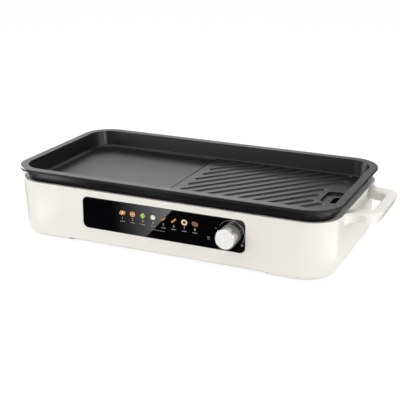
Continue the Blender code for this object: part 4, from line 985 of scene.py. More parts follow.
@dataclass
class TubMoulding(Piece):
    """The cream tub, with its arched foot, joggled cover seat, ledge and windows."""

    corner: float = 43 * MM
    wall: float = 2.5 * MM
    draft: float = 5 * MM
    edge: float = 0.8 * MM
    end_round: float = 10 * MM
    side_round: float = 6 * MM
    arch_rise: float = 2.3 * MM
    arch_half: float = 150 * MM
    arch_ramp: float = 16 * MM
    arch_fade: float = 10 * MM
    arch_cuts: tuple[float, ...] = (-0.1, 0.1, 0.25, 0.4, 0.5, 0.6, 0.75, 0.9, 1.1)
    lip: float = 2.2 * MM
    seat_width: float = 4.5 * MM
    seat_depth: float = 1.7 * MM
    seat_height: float = 2.8 * MM
    seat_slope: float = 1.8 * MM
    cover: float = 2.5 * MM
    cover_corner: float = 22 * MM
    cover_lap: float = 12 * MM
    window_round: float = 0.7 * MM
    stem: float = 3.3 * MM

    def ring(self, inset_x: float, inset_y: float, height: float, draft_height: float) -> Ring:
        """Return a ring of the tub, set in from its top outline.

        Args:
            inset_x: Inset of the end walls.
            inset_y: Inset of the long walls.
            height: The ring's height.
            draft_height: The height whose draft it takes.

        Returns:
            The ring.
        """
        lean = self.draft * (self.tub_high.z - draft_height) / self.tub_high.z
        return Ring(self.tub_high.x - lean - inset_x, self.tub_high.y - self.centre_y - inset_y,
                    self.corner - min(inset_x, inset_y), height)

    def even(self, inset: float, height: float) -> Ring:
        """Return a ring set in alike on all sides from the top outline."""
        return self.ring(inset, inset, height, self.tub_high.z)

    def lower_round(self, end: float, side: float, level: float, wall: float) -> list[Ring]:
        """Return rings from the wall down round the lower edge.

        Args:
            end: Radius at the end walls.
            side: Radius at the long walls.
            level: Height of the foot.
            wall: Inset of the wall.

        Returns:
            The rings, from the highest to the foot.
        """
        rings = []
        for grow, above in quarter(end, 14):
            tuck = 0.0
            if above < side:
                tuck = side - math.sqrt(side * side - (side - above) ** 2)
            rings.append(self.ring(wall + grow, wall + tuck, level + above, level + above))
        return rings

    def rings(self) -> list[Ring]:
        """List the tub's skin: down the outside, in across the foot, up the inside and the lip.

        Returns:
            The rings.
        """
        top, foot = self.tub_high.z, self.tub_low.z
        low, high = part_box("base_cover")
        cover = Ring(high.x, high.y - self.centre_y, self.cover_corner, foot)
        seat = low.z + self.cover + GAP
        inner = self.lower_round(self.end_round - self.wall - self.arch_rise, self.side_round - self.wall,
                                 low.z + self.wall, self.wall)
        level = top - self.seat_depth
        heel = level - self.seat_height
        slope = heel - self.seat_slope
        return [*[self.even(shrink, top - grow) for grow, shrink in quarter(self.edge, 4)],
                *self.lower_round(self.end_round, self.side_round, foot, 0),
                cover.grown(GAP, foot), cover.grown(GAP, seat), cover.grown(-self.cover_lap, seat),
                cover.grown(-self.cover_lap, seat + self.wall), cover.grown(self.wall, seat + self.wall),
                cover.grown(self.wall, low.z + self.wall), *reversed(inner),
                self.ring(self.wall, self.wall, slope, slope), self.even(self.seat_width, heel),
                self.even(self.seat_width, level), self.even(self.lip, level),
                *[self.even(self.lip - grow, top - shrink) for grow, shrink in quarter(self.edge / 2, 3)]]

    def lift(self, x: float, above: float) -> float:
        """Return how far the arch raises a point of the lower edge."""
        inside = 1 - ramp((abs(x) - self.arch_half) / self.arch_ramp)
        return self.arch_rise * inside * max(0.0, 1 - above / self.arch_fade)

    def raise_arch(self, tub: bpy.types.Object) -> None:
        """Lift the lower edge between the feet, in the outer skin and across the foot.

        Args:
            tub: The tub, with its windows cut.
        """
        bm = bmesh.new()
        bm.from_mesh(tub.data)
        for share in self.arch_cuts:
            for sign in (-1, 1):
                slice_across(bm, sign * (self.arch_half + self.arch_ramp * share))
        foot = self.tub_low.z
        outside = self.tub_high.y - self.centre_y - self.wall / 2
        for vert in bm.verts:
            if vert.co.z < foot + 2 * self.arch_rise or abs(vert.co.y - self.centre_y) > outside:
                vert.co.z += self.lift(vert.co.x, vert.co.z - foot)
        bm.to_mesh(tub.data)
        bm.free()

    def window(self, node: str, size: Point2, corner: float, inward: int) -> Form:
        """Return the cutter of a window in a long wall, with a rounded mouth.

        Args:
            node: The node that the window is cut for.
            size: The length and height of what passes the window.
            corner: Its corner radius.
            inward: -1 in the front wall and 1 in the back wall.

        Returns:
            The cutter.
        """
        x, _, z = middle_of(node)
        base = Ring(size[0] / 2 + GAP, size[1] / 2 + GAP, corner + GAP, 0)
        mouth = self.window_round
        rings = [base.grown(mouth * 2, -mouth),
                 *[base.grown(grow, shrink) for grow, shrink in reversed(quarter(mouth, 4))],
                 base.grown(0, self.wall * 2)]
        face = self.tub_low.y if inward < 0 else self.tub_high.y
        return Form(steps=10).skin(rings).move(facing((x, face, z), inward))

    def build(self) -> None:
        """Build the tub on the base."""
        tub = Form(steps=14).skin(self.rings(), self.middle, closed=True).solid("tub_moulding")
        length, _, height = extent_of("control_panel")
        carve(tub, self.window("control_panel", (length, height), PANEL_CORNER, -1))
        carve(tub, self.window("mains_inlet", INLET_BODY, INLET_CORNER, 1))
        stems = Form()
        for name in numbered("rubber_foot", 4):
            stems.disc(self.stem, -OVERRUN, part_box(name)[1].z + OVERRUN, middle_of(name)[:2])
        carve(tub, stems)
        self.raise_arch(tub)
        finish_piece(tub, CREAM, Body.BASE, ["housing_shell"])


@dataclass
class LoopHandle(Piece):
    """One cream loop handle, level with the tub's top, whose roots flare into the end wall."""

    sign: int = 1
    reach: float = 43 * MM
    half: float = 60 * MM
    spread: float = 10 * MM
    flare: float = 19 * MM
    flare_cuts: int = 12
    under_spread: float = 3 * MM
    under_flare: float = 9 * MM
    bar: float = 14.5 * MM
    arm: float = 20 * MM
    corner: float = 24 * MM
    hole_corner: float = 12 * MM
    edge: float = 3.5 * MM
    undercut: float = 5.5 * MM
    draft: float = 5 * MM
    sink: float = 2.2 * MM
    skim: float = 0.02 * MM

    def levels(self, height: float) -> list[Point2]:
        """Return the drop below the top and the inset of each section.

        Args:
            height: The handle's height.

        Returns:
            The sections, from the top down.
        """
        low = height - self.edge
        under = [(low + self.edge * math.sin(turn), self.undercut - self.edge * math.cos(turn))
                 for turn in arc(6)]
        return quarter(self.edge, 6) + under

    def build(self) -> None:
        """Build the handle on the base."""
        name = "right_handle" if self.sign > 0 else "left_handle"
        low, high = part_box(name)
        high.z += self.lip_rise
        levels = self.levels(high.z - low.z)
        outer = [Ring(self.reach - inset, self.half - inset, self.corner - inset, high.z - drop)
                 for drop, inset in levels]
        hole_x, hole_y = self.reach - self.bar, self.half - self.arm
        inner = [Ring(hole_x + inset, hole_y + inset, self.hole_corner + inset, high.z - drop)
                 for drop, inset in levels]
        form = Form(steps=14).skin(outer + inner[::-1], closed=True)
        bmesh.ops.holes_fill(form.bm, edges=slice_across(form.bm, -self.sink, clear=True), sides=0)
        for step in range(self.flare_cuts + 1):
            slice_across(form.bm, self.flare * step / self.flare_cuts)
        self._flare(form, low.z, high.z)
        if self.sign < 0:
            form.move(Matrix.Diagonal((-1, 1, 1, 1)))
        handle = form.move(Matrix.Translation((0, self.centre_y, -self.skim))).solid("%s_loop" % name)
        finish_piece(handle, CREAM, Body.BASE, [name], smooth=40)

    def _flare(self, form: Form, low: float, high: float) -> None:
        """Spread the roots and lean them with the wall's draft.

        Args:
            form: The handle, with its roots at x 0.
            low: Height of its underside.
            high: Height of its top.
        """
        wall = self.tub_high.x + GAP
        for vert in form.bm.verts:
            x, y, z = vert.co
            beyond = max(0.0, 1 - max(x, 0) / self.flare)
            vert.co.y += math.copysign(self.spread * beyond * beyond, y)
            below = max(0.0, 1 - max(x, 0) / self.under_flare)
            vert.co.z -= self.under_spread * below * below * ramp((high - z) / (high - low))
            vert.co.x += wall - self.draft * (high - z) / self.tub_high.z


@dataclass
class ReflectorTray(Piece):
    """The pressed tray: a well for the heater, a step round the pan's walls and the flange under its rim."""

    pan: CastPan = field(default_factory=CastPan)
    sheet: float = 1 * MM
    clearance: float = 1.0 * MM
    well_half: Point2 = (222 * MM, 100 * MM)
    well_corner: float = 26 * MM
    flange_corner: float = 40.5 * MM
    step: float = 72.7 * MM
    shelf_drop: float = 0.8 * MM
    bend: float = 0.38 * MM
    well_slope: float = 2 * MM
    shelf_end: float = 2.75 * MM
    flange_end: float = 2.5 * MM
    hem: float = 2.3 * MM
    heater_hole: float = 3.8 * MM
    heater_hole_span: Point2 = (-4 * MM, 6 * MM)
    heater_y: float = 66 * MM
    heater_z: float = 65.7 * MM
    probe_hole: float = 6.4 * MM
    probe_x: float = -12 * MM

    def lower(self, inset: float, height: float) -> Ring:
        """Return a ring of the heater's well."""
        half_x, half_y = self.well_half
        return Ring(half_x - inset, half_y - inset, self.well_corner - inset, height)

    def upper(self, grow: float, height: float) -> Ring:
        """Return a ring round the pan's walls."""
        return self.pan.wall_ring(height, self.clearance + grow)

    def build(self) -> None:
        """Build the tray on the base."""
        low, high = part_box("heat_reflector")
        high.z += self.lip_rise
        edge = Ring(high.x, high.y - self.centre_y, self.flange_corner, high.z)
        sheet, floor, step, shelf = self.sheet, low.z + self.sheet, self.step, high.z - self.shelf_drop
        rings = [self.lower(self.well_slope, floor), self.lower(0, step), self.upper(0, step),
                 self.upper(0, shelf), edge.grown(-self.shelf_end, shelf),
                 edge.grown(-self.flange_end, high.z), edge, edge.grown(0, high.z - sheet),
                 edge.grown(-self.hem, high.z - sheet),
                 edge.grown(-self.hem, shelf - sheet), self.upper(sheet, shelf - sheet),
                 self.upper(sheet, step - sheet), self.lower(-sheet, step - sheet),
                 self.lower(self.well_slope - sheet, low.z)]
        tray = Form(steps=14).skin(rings, self.middle).solid("reflector_tray")
        round_edges(tray, self.bend, sharp)
        holes = Form().disc(self.probe_hole, low.z - OVERRUN, floor + OVERRUN,
                            (self.probe_x, self.centre_y))
        start, end = self.heater_hole_span
        for side in (-1, 1):
            place = Matrix.Translation((0, self.centre_y + side * self.heater_y, self.heater_z))
            hole = Form().disc(self.heater_hole, start - self.well_half[0], end - self.well_half[0])
            holes.join(hole.move(place @ Matrix.Rotation(QUARTER, 4, "Y")))
        carve(tray, holes)
        finish_piece(tray, SHEET, Body.BASE, ["heat_reflector"], smooth=30)


@dataclass
class Heater(Piece):
    """The tubular heater: two passes out and two back, with both ends dipped to the tray's left wall."""

    radius: float = 3.5 * MM
    end_x: float = -232.5 * MM
    dip: Point2 = (-210 * MM, -198 * MM)
    dip_steps: int = 6
    rise: float = 3.5 * MM
    turn: Point2 = (158 * MM, -195 * MM)
    pass_y: float = 66 * MM
    bend: float = 22 * MM
    end_round: float = 0.5 * MM
    end_angle: float = math.radians(60)

    def build(self) -> None:
        """Build the heater on the base."""
        high_z = self.heater_z + self.rise
        low_x, mid_x = self.dip
        right, left = self.turn
        slope = (mid_x - low_x) / self.dip_steps
        shares = [ramp(step / self.dip_steps) for step in range(self.dip_steps + 1)]
        climb = [Leg((slope, 0, self.rise * (upper - lower))) for lower, upper in zip(shares, shares[1:])]
        sink = [Leg((-leg.point[0], 0, -leg.point[2])) for leg in reversed(climb)]
        near = self.pass_y - self.bend

        def bend_at(x: float, y: float, angle: float) -> Leg:
            """Return a bend about a point of the heater's level."""
            return Leg((x, self.centre_y + y, high_z), angle)

        legs = [Leg((low_x - self.end_x, 0, 0)), *climb, Leg((right - mid_x, 0, 0)),
                bend_at(right, near, -math.pi), Leg((left - right, 0, 0)),
                bend_at(left, 0, math.pi), Leg((right - left, 0, 0)),
                bend_at(right, -near, -math.pi), Leg((mid_x - right, 0, 0)), *sink,
                Leg((self.end_x - low_x, 0, 0))]
        start = Vector((self.end_x, self.centre_y + self.pass_y, self.heater_z))
        bar = Form().pipe(self.radius, start, legs).solid("heater_bar")
        round_edges(bar, self.end_round, lambda edge: sharp(edge, self.end_angle))
        finish_piece(bar, HEATER, Body.BASE, ["heating_element"])

    @property
    def heater_z(self) -> float:
        """Height of the heater's two ends."""
        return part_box("heating_element")[0].z + self.radius


@dataclass
class DripCup(Piece):
    """The pressed cup under the pan's spout."""

    corner: float = 6 * MM
    sheet: float = 0.9 * MM
    lean: float = 0.9 * MM
    flange: float = 0.3 * MM
    edge: float = 0.35 * MM

    def build(self) -> None:
        """Build the cup on its own body."""
        low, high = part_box("grease_cup")
        x, y, _ = middle_of("grease_cup")
        length, width, _ = extent_of("grease_cup")
        sheet, under = self.sheet, high.z - self.sheet
        outer = Ring(length / 2, width / 2, self.corner + self.flange, high.z)
        inner = outer.grown(-self.flange - 2 * sheet, high.z)
        rings = [inner.grown(-self.lean, low.z + sheet), inner, outer, outer.grown(0, under),
                 inner.grown(sheet, under), inner.grown(sheet - self.lean, low.z)]
        cup = Form(steps=10).skin(rings, (x, y)).solid("drip_cup")
        round_edges(cup, self.edge, sharp)
        finish_piece(cup, SHEET, Body.CUP, ["grease_cup"], smooth=30)


@dataclass(frozen=True)
class Stud:
    """A turned foot or screw, in millimetres; its edge is measured from the node's radius."""

    base: tuple[Point2, ...]
    edge: tuple[Point2, ...]
    shank: float
    chamfer: float
    steps: int

    def turned(self, node: str) -> Form:
        """Turn the stud in the place of a node.

        Args:
            node: The node that gives its radius and its height.

        Returns:
            The stud.
        """
        length, _, height = extent_of(node)
        radius, top = length / 2 / MM, height / MM
        edge = [(radius + out, up) for out, up in self.edge]
        profile = [*self.base, *edge, (self.shank, edge[-1][1]), (self.shank, top - self.chamfer),
                   (self.shank - self.chamfer, top), (0, top)]
        return Form().turn(profile, self.steps).move(foot_of(node))


@dataclass
class Underside(Piece):
    """The four feet and the screws of the base cover."""

    foot: Stud = Stud(base=((0, 0), (7.5, 0), (8, 0.3), (9.6, 0.3), (10.3, 0.5)),
                      edge=((0, 1.7), (0, 2.0), (-0.25, 2.2)), shank=3, chamfer=0.5, steps=48)
    screw: Stud = Stud(base=((0, 0), (1.5, 0.05)), edge=((-0.5, 0.4), (-0.1, 0.95), (0, 1.3), (0, 1.7)),
                       shank=1.5, chamfer=0.6, steps=32)
    cross: Point3 = (3.4 * MM, 0.7 * MM, 2.2 * MM)

    def build(self) -> None:
        """Build the feet and the screws on the base."""
        for index, name in enumerate(numbered("rubber_foot", 4), 1):
            pad = self.foot.turned(name).solid("foot_pad_%d" % index)
            finish_piece(pad, RUBBER, Body.BASE, [name])
        for index, name in enumerate(numbered("base_screw", 6), 1):
            screw = self.screw.turned(name).solid("cover_screw_%d" % index)
            for angle in (0, QUARTER):
                slot = Form().box(self.cross, (0, 0, 0))
                carve(screw, slot.move(foot_of(name) @ Matrix.Rotation(angle, 4, "Z")))
            finish_piece(screw, PLATED, Body.BASE, [name])


@dataclass
class MainsInlet(Piece):
    """The appliance inlet in the back wall: a flanged socket and its three pins."""

    flange_corner: float = 7 * MM
    flange: float = 2 * MM
    cavity: Point2 = (24.1 * MM, 16.1 * MM)
    cavity_corner: float = 2.8 * MM
    cavity_depth: float = 16.5 * MM
    chamfer: float = 0.6 * MM
    edge: float = 0.5 * MM
    pin_edge: float = 0.4 * MM

    def build(self) -> None:
        """Build the socket and its pins on the base."""
        low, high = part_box("mains_inlet")
        x, _, z = middle_of("mains_inlet")
        length, _, height = extent_of("mains_inlet")
        socket = Ring(self.cavity[0] / 2, self.cavity[1] / 2, self.cavity_corner, -self.cavity_depth)
        flange = Ring(length / 2, height / 2, self.flange_corner, -self.flange)
        body = Ring(INLET_BODY[0] / 2, INLET_BODY[1] / 2, INLET_CORNER, -self.flange)
        rings = [socket, socket.grown(0, -self.chamfer), socket.grown(self.chamfer, 0),
                 *[flange.grown(-shrink, -grow) for grow, shrink in quarter(self.edge, 3)],
                 flange, body, body.grown(0, low.y - high.y)]
        form = Form(steps=8).skin(rings).move(facing((x, high.y, z), -1))
        finish_piece(form.solid("inlet_socket"), BLACK, Body.BASE, ["mains_inlet"])
        for name in ("inlet_pin_live", "inlet_pin_neutral", "inlet_pin_earth"):
            low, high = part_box(name)
            pin = Form().box(high - low, (low + high) / 2, self.pin_edge)
            finish_piece(pin.solid("%s_blade" % name), BRASS, Body.BASE, [name])


@dataclass(frozen=True)
class Mark:
    """One flat printed shape, in millimetres: its ink, size, corner, place, turn in degrees and hole."""

    ink: str
    width: float
    height: float
    corner: float
    x: float = 0.0
    z: float = 0.0
    turn: float = 0.0
    hole: float = 0.0


MOTIFS = (
    (Mark("orange", 2.2, 6.6, 1.0, -3.0, 0.2, -28), Mark("cream", 2.0, 6.8, 0.95, 0.0, 0.0, -28),
     Mark("orange", 2.2, 6.2, 1.0, 3.0, -0.2, -28)),
    (Mark("orange", 8.4, 7.6, 3.7, hole=2.3), Mark("cream", 3.0, 2.8, 1.35)),
    (Mark("green", 7.6, 6.8, 1.8, turn=38), Mark("yellow", 5.4, 1.5, 0.7, -0.4, 1.2, 38),
     Mark("yellow", 4.4, 1.3, 0.6, 0.6, -1.2, 38)),
    (Mark("white", 7.2, 7.0, 3.45), Mark("cream", 3.4, 1.4, 0.65, 0.6, -1.7)),
    (Mark("brown", 2.8, 8.8, 1.3, turn=-52), Mark("orange", 1.2, 7.4, 0.55, turn=-52)),
    (Mark("orange", 2.6, 9.2, 1.25, turn=-50), Mark("brown", 1.2, 7.6, 0.55, 0.9, -0.6, turn=-50)),
    (Mark("cream", 8.8, 8.0, 3.9, hole=2.4), Mark("brown", 3.2, 2.8, 1.35)),
    (Mark("rust", 9.6, 6.6, 3.2, turn=-16), Mark("brown", 5.6, 0.9, 0.42, 0, 0, -16)))
CAPTIONS = (
    *[Mark("mid_grey", 3.2, 0.9, 0.4, -13 + 4.4 * step, 41) for step in range(5)],
    Mark("mid_grey", 4.6, 1.1, 0.5, 71.5, 43.4), Mark("mid_grey", 3.4, 1.1, 0.5, 71.5, 40.6),
    Mark("mid_grey", 1.0, 2.2, 0.45, 82.3, 58, 60), Mark("pale_grey", 3.0, 2.4, 0.8, 120, 39.2, hole=0.6))
ARCS = {"mid_grey": (62, 88), "pale_grey": (-33, 94)}


@dataclass
class ControlPanel(Piece):
    """The glossy black lens and what is printed on it."""

    edge: float = 0.4 * MM
    shaft: float = 4.2 * MM
    ink_sink: float = 0.02 * MM
    ink_rise: float = 0.03 * MM
    layer_share: float = 0.5
    motif_x: float = -60 * MM
    motif_z: float = 58.7 * MM
    pitch: float = 15.9 * MM
    figure_size: float = 5.2 * MM
    figure_drop: float = 7.9 * MM
    line: Mark = Mark("mid_grey", 7.4, 1.3, 0.6)
    line_drop: float = 12.6 * MM
    arc_radius: float = 19.3 * MM
    arc_width: float = 0.45 * MM
    inks: dict[str, Form] = field(default_factory=lambda: {name: Form() for name in INKS})

    def build(self) -> None:
        """Build the lens and its prints on the base."""
        low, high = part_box("control_panel")
        x, _, z = middle_of("control_panel")
        length, depth, height = extent_of("control_panel")
        plate = Form(steps=10).plate((length, height), PANEL_CORNER, 0, depth, self.edge)
        lens = plate.move(facing((x, high.y, z))).solid("panel_lens")
        knob_x, _, knob_z = middle_of("knob_body")
        carve(lens, Form().disc(self.shaft, -OVERRUN, 2 * depth).move(facing((knob_x, high.y, knob_z))))
        finish_piece(lens, LENS, Body.BASE, ["control_panel"])
        self._motifs(low.y)
        self._arcs((knob_x, low.y, knob_z))
        for name, form in self.inks.items():
            finish_piece(form.solid("print_%s" % name), INKS[name], Body.BASE)

    def _motifs(self, front: float) -> None:
        """Lay the motifs, their figures and the captions on the lens.

        Args:
            front: The lens's front face.
        """
        for index, motif in enumerate(MOTIFS):
            x = self.motif_x + index * self.pitch
            for layer, mark in enumerate(motif):
                self._mark(mark, (x, front, self.motif_z), layer)
            digit = Form().figures(str(index + 1), self.figure_size, -self.ink_sink, self.ink_rise)
            self.inks["pale_grey"].join(digit.move(facing((x, front, self.motif_z - self.figure_drop))))
            self._mark(self.line, (x, front, self.motif_z - self.line_drop))
        for mark in CAPTIONS:
            self._mark(mark, (0, front, 0))

    def _arcs(self, centre: Point3) -> None:
        """Lay the arcs round the knob.

        Args:
            centre: Where the knob's axis meets the lens.
        """
        inner, outer = self.arc_radius - self.arc_width / 2, self.arc_radius + self.arc_width / 2
        for name, (start, angle) in ARCS.items():
            band = Form().sector(inner, outer, -self.ink_sink, self.ink_rise, math.radians(start),
                                 math.radians(angle))
            self.inks[name].join(band.move(facing(centre)))

    def _mark(self, mark: Mark, place: Point3, layer: int = 0) -> None:
        """Add one mark to its ink.

        Args:
            mark: The mark.
            place: Where its motif stands on the lens.
            layer: How many inks lie under it.
        """
        low, high = -self.ink_sink, self.ink_rise * (1 + self.layer_share * layer)
        ring = Ring(mark.width * MM / 2, mark.height * MM / 2, mark.corner * MM, low)
        form = Form(steps=6)
        if mark.hole:
            inner = Ring(mark.hole * MM, mark.hole * MM, mark.hole * FULL_ROUND * MM, low)
            form.skin([ring, ring.grown(0, high), inner.grown(0, high), inner], closed=True)
        else:
            form.skin([ring, ring.grown(0, high)])
        x, front, z = place
        turned = Matrix.Rotation(math.radians(mark.turn), 4, "Z")
        self.inks[mark.ink].join(form.move(facing((x + mark.x * MM, front, z + mark.z * MM)) @ turned))


@dataclass
class ControlKnob(Piece):
    """The turned knob and the brushed disc in its face, with profiles in millimetres."""

    shoulder: float = 0.9
    seat: float = 13.2
    seat_depth: float = 1.2
    lead_in: Point2 = (0.12, 0.15)
    heel: float = 0.3
    wall: float = 2.2
    skirt: float = 16
    hub: float = 5.5
    bore: float = 3.3
    bore_depth: float = 13
    face_edge: tuple[Point2, ...] = ((0, 0.2), (0.06, 0.06), (0.2, 0))
    mark: Point2 = (-0.9 * MM, 7.6 * MM)
    mark_size: Point3 = (1.1 * MM, 3.2 * MM, 3 * MM)
    mark_round: float = 0.3 * MM
    steps: int = 96

    def build(self) -> None:
        """Build the knob on its own body."""
        x, _, z = middle_of("knob_body")
        length, depth, _ = extent_of("knob_body")
        place = facing((x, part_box("knob_body")[1].y, z))
        radius, depth = length / 2 / MM, depth / MM
        out, fall = self.lead_in
        inside = radius - self.wall
        profile = [(0, depth - self.seat_depth), (self.seat, depth - self.seat_depth),
                   (self.seat, depth - fall), (self.seat + out, depth),
                   *[(radius - shrink, depth - grow) for grow, shrink in quarter(self.shoulder, 8)],
                   (radius, self.heel), (radius - self.heel, 0), (inside, 0), (inside, self.skirt),
                   (self.hub, self.skirt), (self.hub, 0), (self.bore, 0), (self.bore, self.bore_depth),
                   (0, self.bore_depth)]
        body = Form().turn(profile, self.steps).move(place).solid("knob_turned_body")
        finish_piece(body, CHROME, Body.KNOB, ["knob_body"])
        length, thickness, _ = extent_of("knob_cap")
        face, back = length / 2 / MM, depth - thickness / MM
        profile = [(0, back), (face, back), *[(face - out, depth - fall) for out, fall in self.face_edge],
                   (0, depth)]
        cap = Form().turn(profile, self.steps).move(place).solid("knob_face_disc")
        carve(cap, Form().box(self.mark_size, (*self.mark, depth * MM), self.mark_round).move(place))
        finish_piece(cap, FACE, Body.KNOB, ["knob_cap"], smooth=25)


@dataclass(frozen=True)
class Card:
    """A flat card that only gloss shows: its middle, sizes, tilt and turn in degrees, and glow."""

    middle: tuple[float, float, float]
    size: Point2
    glow: float
    tilt: float = 0.0
    turn: float = 0.0


@dataclass
class Studio:
    """Camera, floor, lamps and world."""

    camera_place: tuple[float, float, float] = (0.5357, -1.1648, 0.4914)
    camera_tilt: float = 70.99
    camera_turn: float = 24.44
    lens: float = 82.43
    film: float = 36.0
    world_glow: float = 0.46
    floor_half: float = 6.0
    floor_seen: float = 0.2
    floor_glow: float = 0.88
    floor_plain: float = 0.8
    panel_card: Card = Card((-0.0375, -0.255, 0.001), (0.415, 0.21), 3.6)
    cards: tuple[Card, ...] = (
        Card((0.36, -0.09, 0.001), (0.14, 0.18), 4.0),
        Card((-0.285, -0.25, 0.0012), (0.05, 0.18), 9.0, turn=-24.7),
        Card((0.42, 0.22, 0.001), (0.30, 0.42), 0.0),
        Card((-0.42, 0.17, 0.001), (0.30, 0.52), 0.0),
        Card((-1.0, 0.05, 0.22), (0.5, 0.4), 42.0, 90, 90),
        Card((0.85, -0.85, 0.26), (0.24, 0.25), 60.0, 90, 45),
        Card((0.46, 0.46, 0.13), (0.50, 0.25), 0.0, 90, -24),
        Card((-0.85, 1.1, 0.95), (1.2, 1.0), 4.8, 60, 30))
    card_edge: tuple[Point2, Point2] = ((-0.057, -0.183), (-0.074, -0.302))
    card_fade: tuple[Point2, Point2] = ((-0.002, -0.183), (-0.074, -0.302))
    card_blur: float = 0.4 * MM
    fade_width: float = 0.115
    fade_power: float = 1.6
    aim: Vector = field(default_factory=lambda: Vector((0, 0, 0.05)))
    lamps: dict[str, tuple[Vector, float, float]] = field(default_factory=lambda: {
        "overhead": (Vector((-0.1, -0.3, 1.9)), 1.8, 18.0),
        "front_left": (Vector((-0.95, -1.35, 0.55)), 1.1, 11.5),
        "right": (Vector((1.5, -0.4, 0.42)), 0.6, 9.5)})

    def set_camera(self) -> None:
        """Place the camera at the photograph's view."""
        data = bpy.data.cameras.new("view")
        data.lens = self.lens
        data.sensor_width = self.film
        camera = put("view", data)
        camera.location = self.camera_place
        camera.rotation_euler = Euler((math.radians(self.camera_tilt), 0, math.radians(self.camera_turn)))
        bpy.context.scene.camera = camera

    def set_world(self) -> None:
        """Light the scene evenly, and show the camera, metal and glass a white background."""
        world = bpy.data.worlds.new("white_room")
        bpy.context.scene.world = world
        world.use_nodes = True
        tree = world.node_tree
        strength = remap(tree, self._seen(tree), (0.0, 1.0), (self.world_glow, 1.0))
        fill(tree, tree.nodes["Background"], {"Color": (1, 1, 1, 1), "Strength": strength})

    @staticmethod
    def _seen(tree: Tree) -> Socket:
        """Add a test for camera, glossy and transmitted rays.

        Args:
            tree: The node tree.

        Returns:
            A socket that is 1 for those rays and 0 for others.
        """
        rays = add_node(tree, "LightPath", {})
        first = combine(tree, "MAXIMUM", rays["Is Camera Ray"], rays["Is Glossy Ray"])
        return combine(tree, "MAXIMUM", first, rays["Is Transmission Ray"])

    @staticmethod
    def _bare(name: str) -> bpy.types.Material:
        """Make a material without its standard shader.

        Args:
            name: Its name.

        Returns:
            The material.
        """
        material = bpy.data.materials.new(name)
        material.use_nodes = True
        material.node_tree.nodes.remove(material.node_tree.nodes["Principled BSDF"])
        return material

    @staticmethod
    def _hang(name: str, place: Matrix, material: bpy.types.Material, share: Socket,
              shaders: tuple[Socket, Socket]) -> None:
        """Hang a flat sheet.

        Args:
            name: Its name.
            place: The matrix that a square of half size 1 takes.
            material: Its material.
            share: The share of the second shader.
            shaders: The two shaders that the material mixes.
        """
        form = Form()
        bmesh.ops.create_grid(form.bm, x_segments=1, y_segments=1, size=1, matrix=place)
        sheet = form.solid(name)
        tree = material.node_tree
        mixed = add_node(tree, "MixShader", {0: share, 1: shaders[0], 2: shaders[1]})[0]
        fill(tree, tree.nodes["Material Output"], {"Surface": mixed})
        sheet.data.materials.append(material)

    def set_floor(self) -> None:
        """Lay a pale floor that reads white and keeps a faint shadow of the object."""
        material = self._bare("pale_floor")
        tree = material.node_tree
        seen = add_node(tree, "BsdfDiffuse", {"Color": (*[self.floor_seen] * 3, 1)})[0]
        glow = add_node(tree, "Emission", {"Strength": self.floor_glow})[0]
        both = add_node(tree, "AddShader", {0: seen, 1: glow})[0]
        plain = add_node(tree, "BsdfDiffuse", {"Color": (*[self.floor_plain] * 3, 1)})[0]
        size = Matrix.Diagonal((self.floor_half, self.floor_half, 1, 1))
        self._hang("floor", size, material, self._seen(tree), (plain, both))

    def set_cards(self) -> None:
        """Hang the cards, with a slanted pale part on the one before the panel."""
        for card in self.cards:
            self._card(card)
        tree = self._card(self.panel_card)
        place = add_node(tree, "TexCoord", {})["Object"]
        parts = add_node(tree, "SeparateXYZ", {0: place})
        inside = remap(tree, self._line(tree, parts, *self.card_edge), (-self.card_blur, self.card_blur),
                       (1.0, 0.0))
        fade = remap(tree, self._line(tree, parts, *self.card_fade), (-self.fade_width, 0.0),
                     (0.0, self.panel_card.glow ** (1 / self.fade_power)))
        rise = combine(tree, "POWER", fade, self.fade_power)
        fill(tree, tree.nodes["Emission"], {"Strength": combine(tree, "MULTIPLY", inside, rise)})

    def _card(self, card: Card) -> Tree:
        """Hang one card.

        Args:
            card: The card.

        Returns:
            Its material's node tree, with one emission node.
        """
        material = self._bare("gloss_card")
        tree = material.node_tree
        lit = add_node(tree, "Emission", {"Strength": card.glow})[0]
        clear = add_node(tree, "BsdfTransparent", {})[0]
        glossy = add_node(tree, "LightPath", {})["Is Glossy Ray"]
        turned = Matrix.Rotation(math.radians(card.turn), 4, "Z") @ Matrix.Rotation(
            math.radians(card.tilt), 4, "X")
        size = Matrix.Diagonal((card.size[0] / 2, card.size[1] / 2, 1, 1))
        self._hang("gloss_card", Matrix.Translation(card.middle) @ turned @ size, material, glossy,
                   (clear, lit))
        return tree

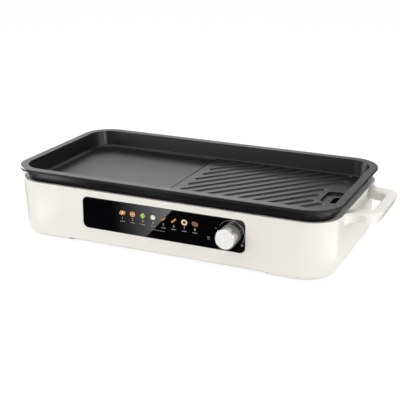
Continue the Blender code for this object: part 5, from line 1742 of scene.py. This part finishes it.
    @staticmethod
    def _line(tree: Tree, parts: bpy.types.NodeOutputs, first: Point2, second: Point2) -> Socket:
        """Add the distance in X past a line on the floor.

        Args:
            tree: The node tree.
            parts: The place, split into its parts.
            first: One point of the line.
            second: Another point of it.

        Returns:
            The socket that carries the distance.
        """
        slope = (second[0] - first[0]) / (second[1] - first[1])
        shift = combine(tree, "MULTIPLY_ADD", parts["Y"], -slope, slope * first[1] - first[0])
        return combine(tree, "ADD", parts["X"], shift)

    def set_lamps(self) -> None:
        """Hang the soft lamps, each aimed at the object."""
        for name, (place, size, power) in self.lamps.items():
            data = bpy.data.lights.new(name, "AREA")
            data.shape = "SQUARE"
            data.size = size
            data.energy = power
            lamp = put(name, data)
            lamp.location = place
            lamp.rotation_euler = (self.aim - place).to_track_quat("-Z", "Y").to_euler()

    def build(self) -> None:
        """Set the whole studio."""
        self.set_camera()
        self.set_world()
        self.set_floor()
        self.set_cards()
        self.set_lamps()
        bpy.context.scene.view_settings.view_transform = "Standard"


DRESSED = {
    SHEET: numbered("element_bracket", 3),
    PLATED: ["probe_plunger", "probe_spring", "control_shaft", *numbered("board_screw", 4),
             *numbered("handle_screw", 4)],
    BLACK: ["panel_backing", "relay"],
    GREY: ["base_cover", "rotary_control", "transformer"],
    BOARD: ["control_board", "power_board"],
    CERAMIC: ["element_bead_front", "element_bead_back", "probe_holder", "thermal_cutout"],
    RED: ["live_wire", "element_wire_front"],
    BLUE: ["neutral_wire", "element_wire_back"],
}


def dress_frame() -> None:
    """Give the frame's own nodes their finishes."""
    for finish, names in DRESSED.items():
        for name in names:
            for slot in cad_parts[name].material_slots:
                slot.material = finish.material()


def press_spring() -> None:
    """Give the probe's spring a mesh of its own."""
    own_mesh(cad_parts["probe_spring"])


def main() -> None:
    """Build every sub-assembly in order."""
    logging.basicConfig(level=logging.INFO, format="%(message)s")
    Studio().build()
    dress_frame()
    press_spring()
    for part in (CastPan(), TubMoulding(), LoopHandle(sign=-1), LoopHandle(sign=1), ReflectorTray(), Heater(),
                 DripCup(), Underside(), MainsInlet(), ControlPanel(), ControlKnob()):
        part.build()


if __name__ == "__main__":
    main()
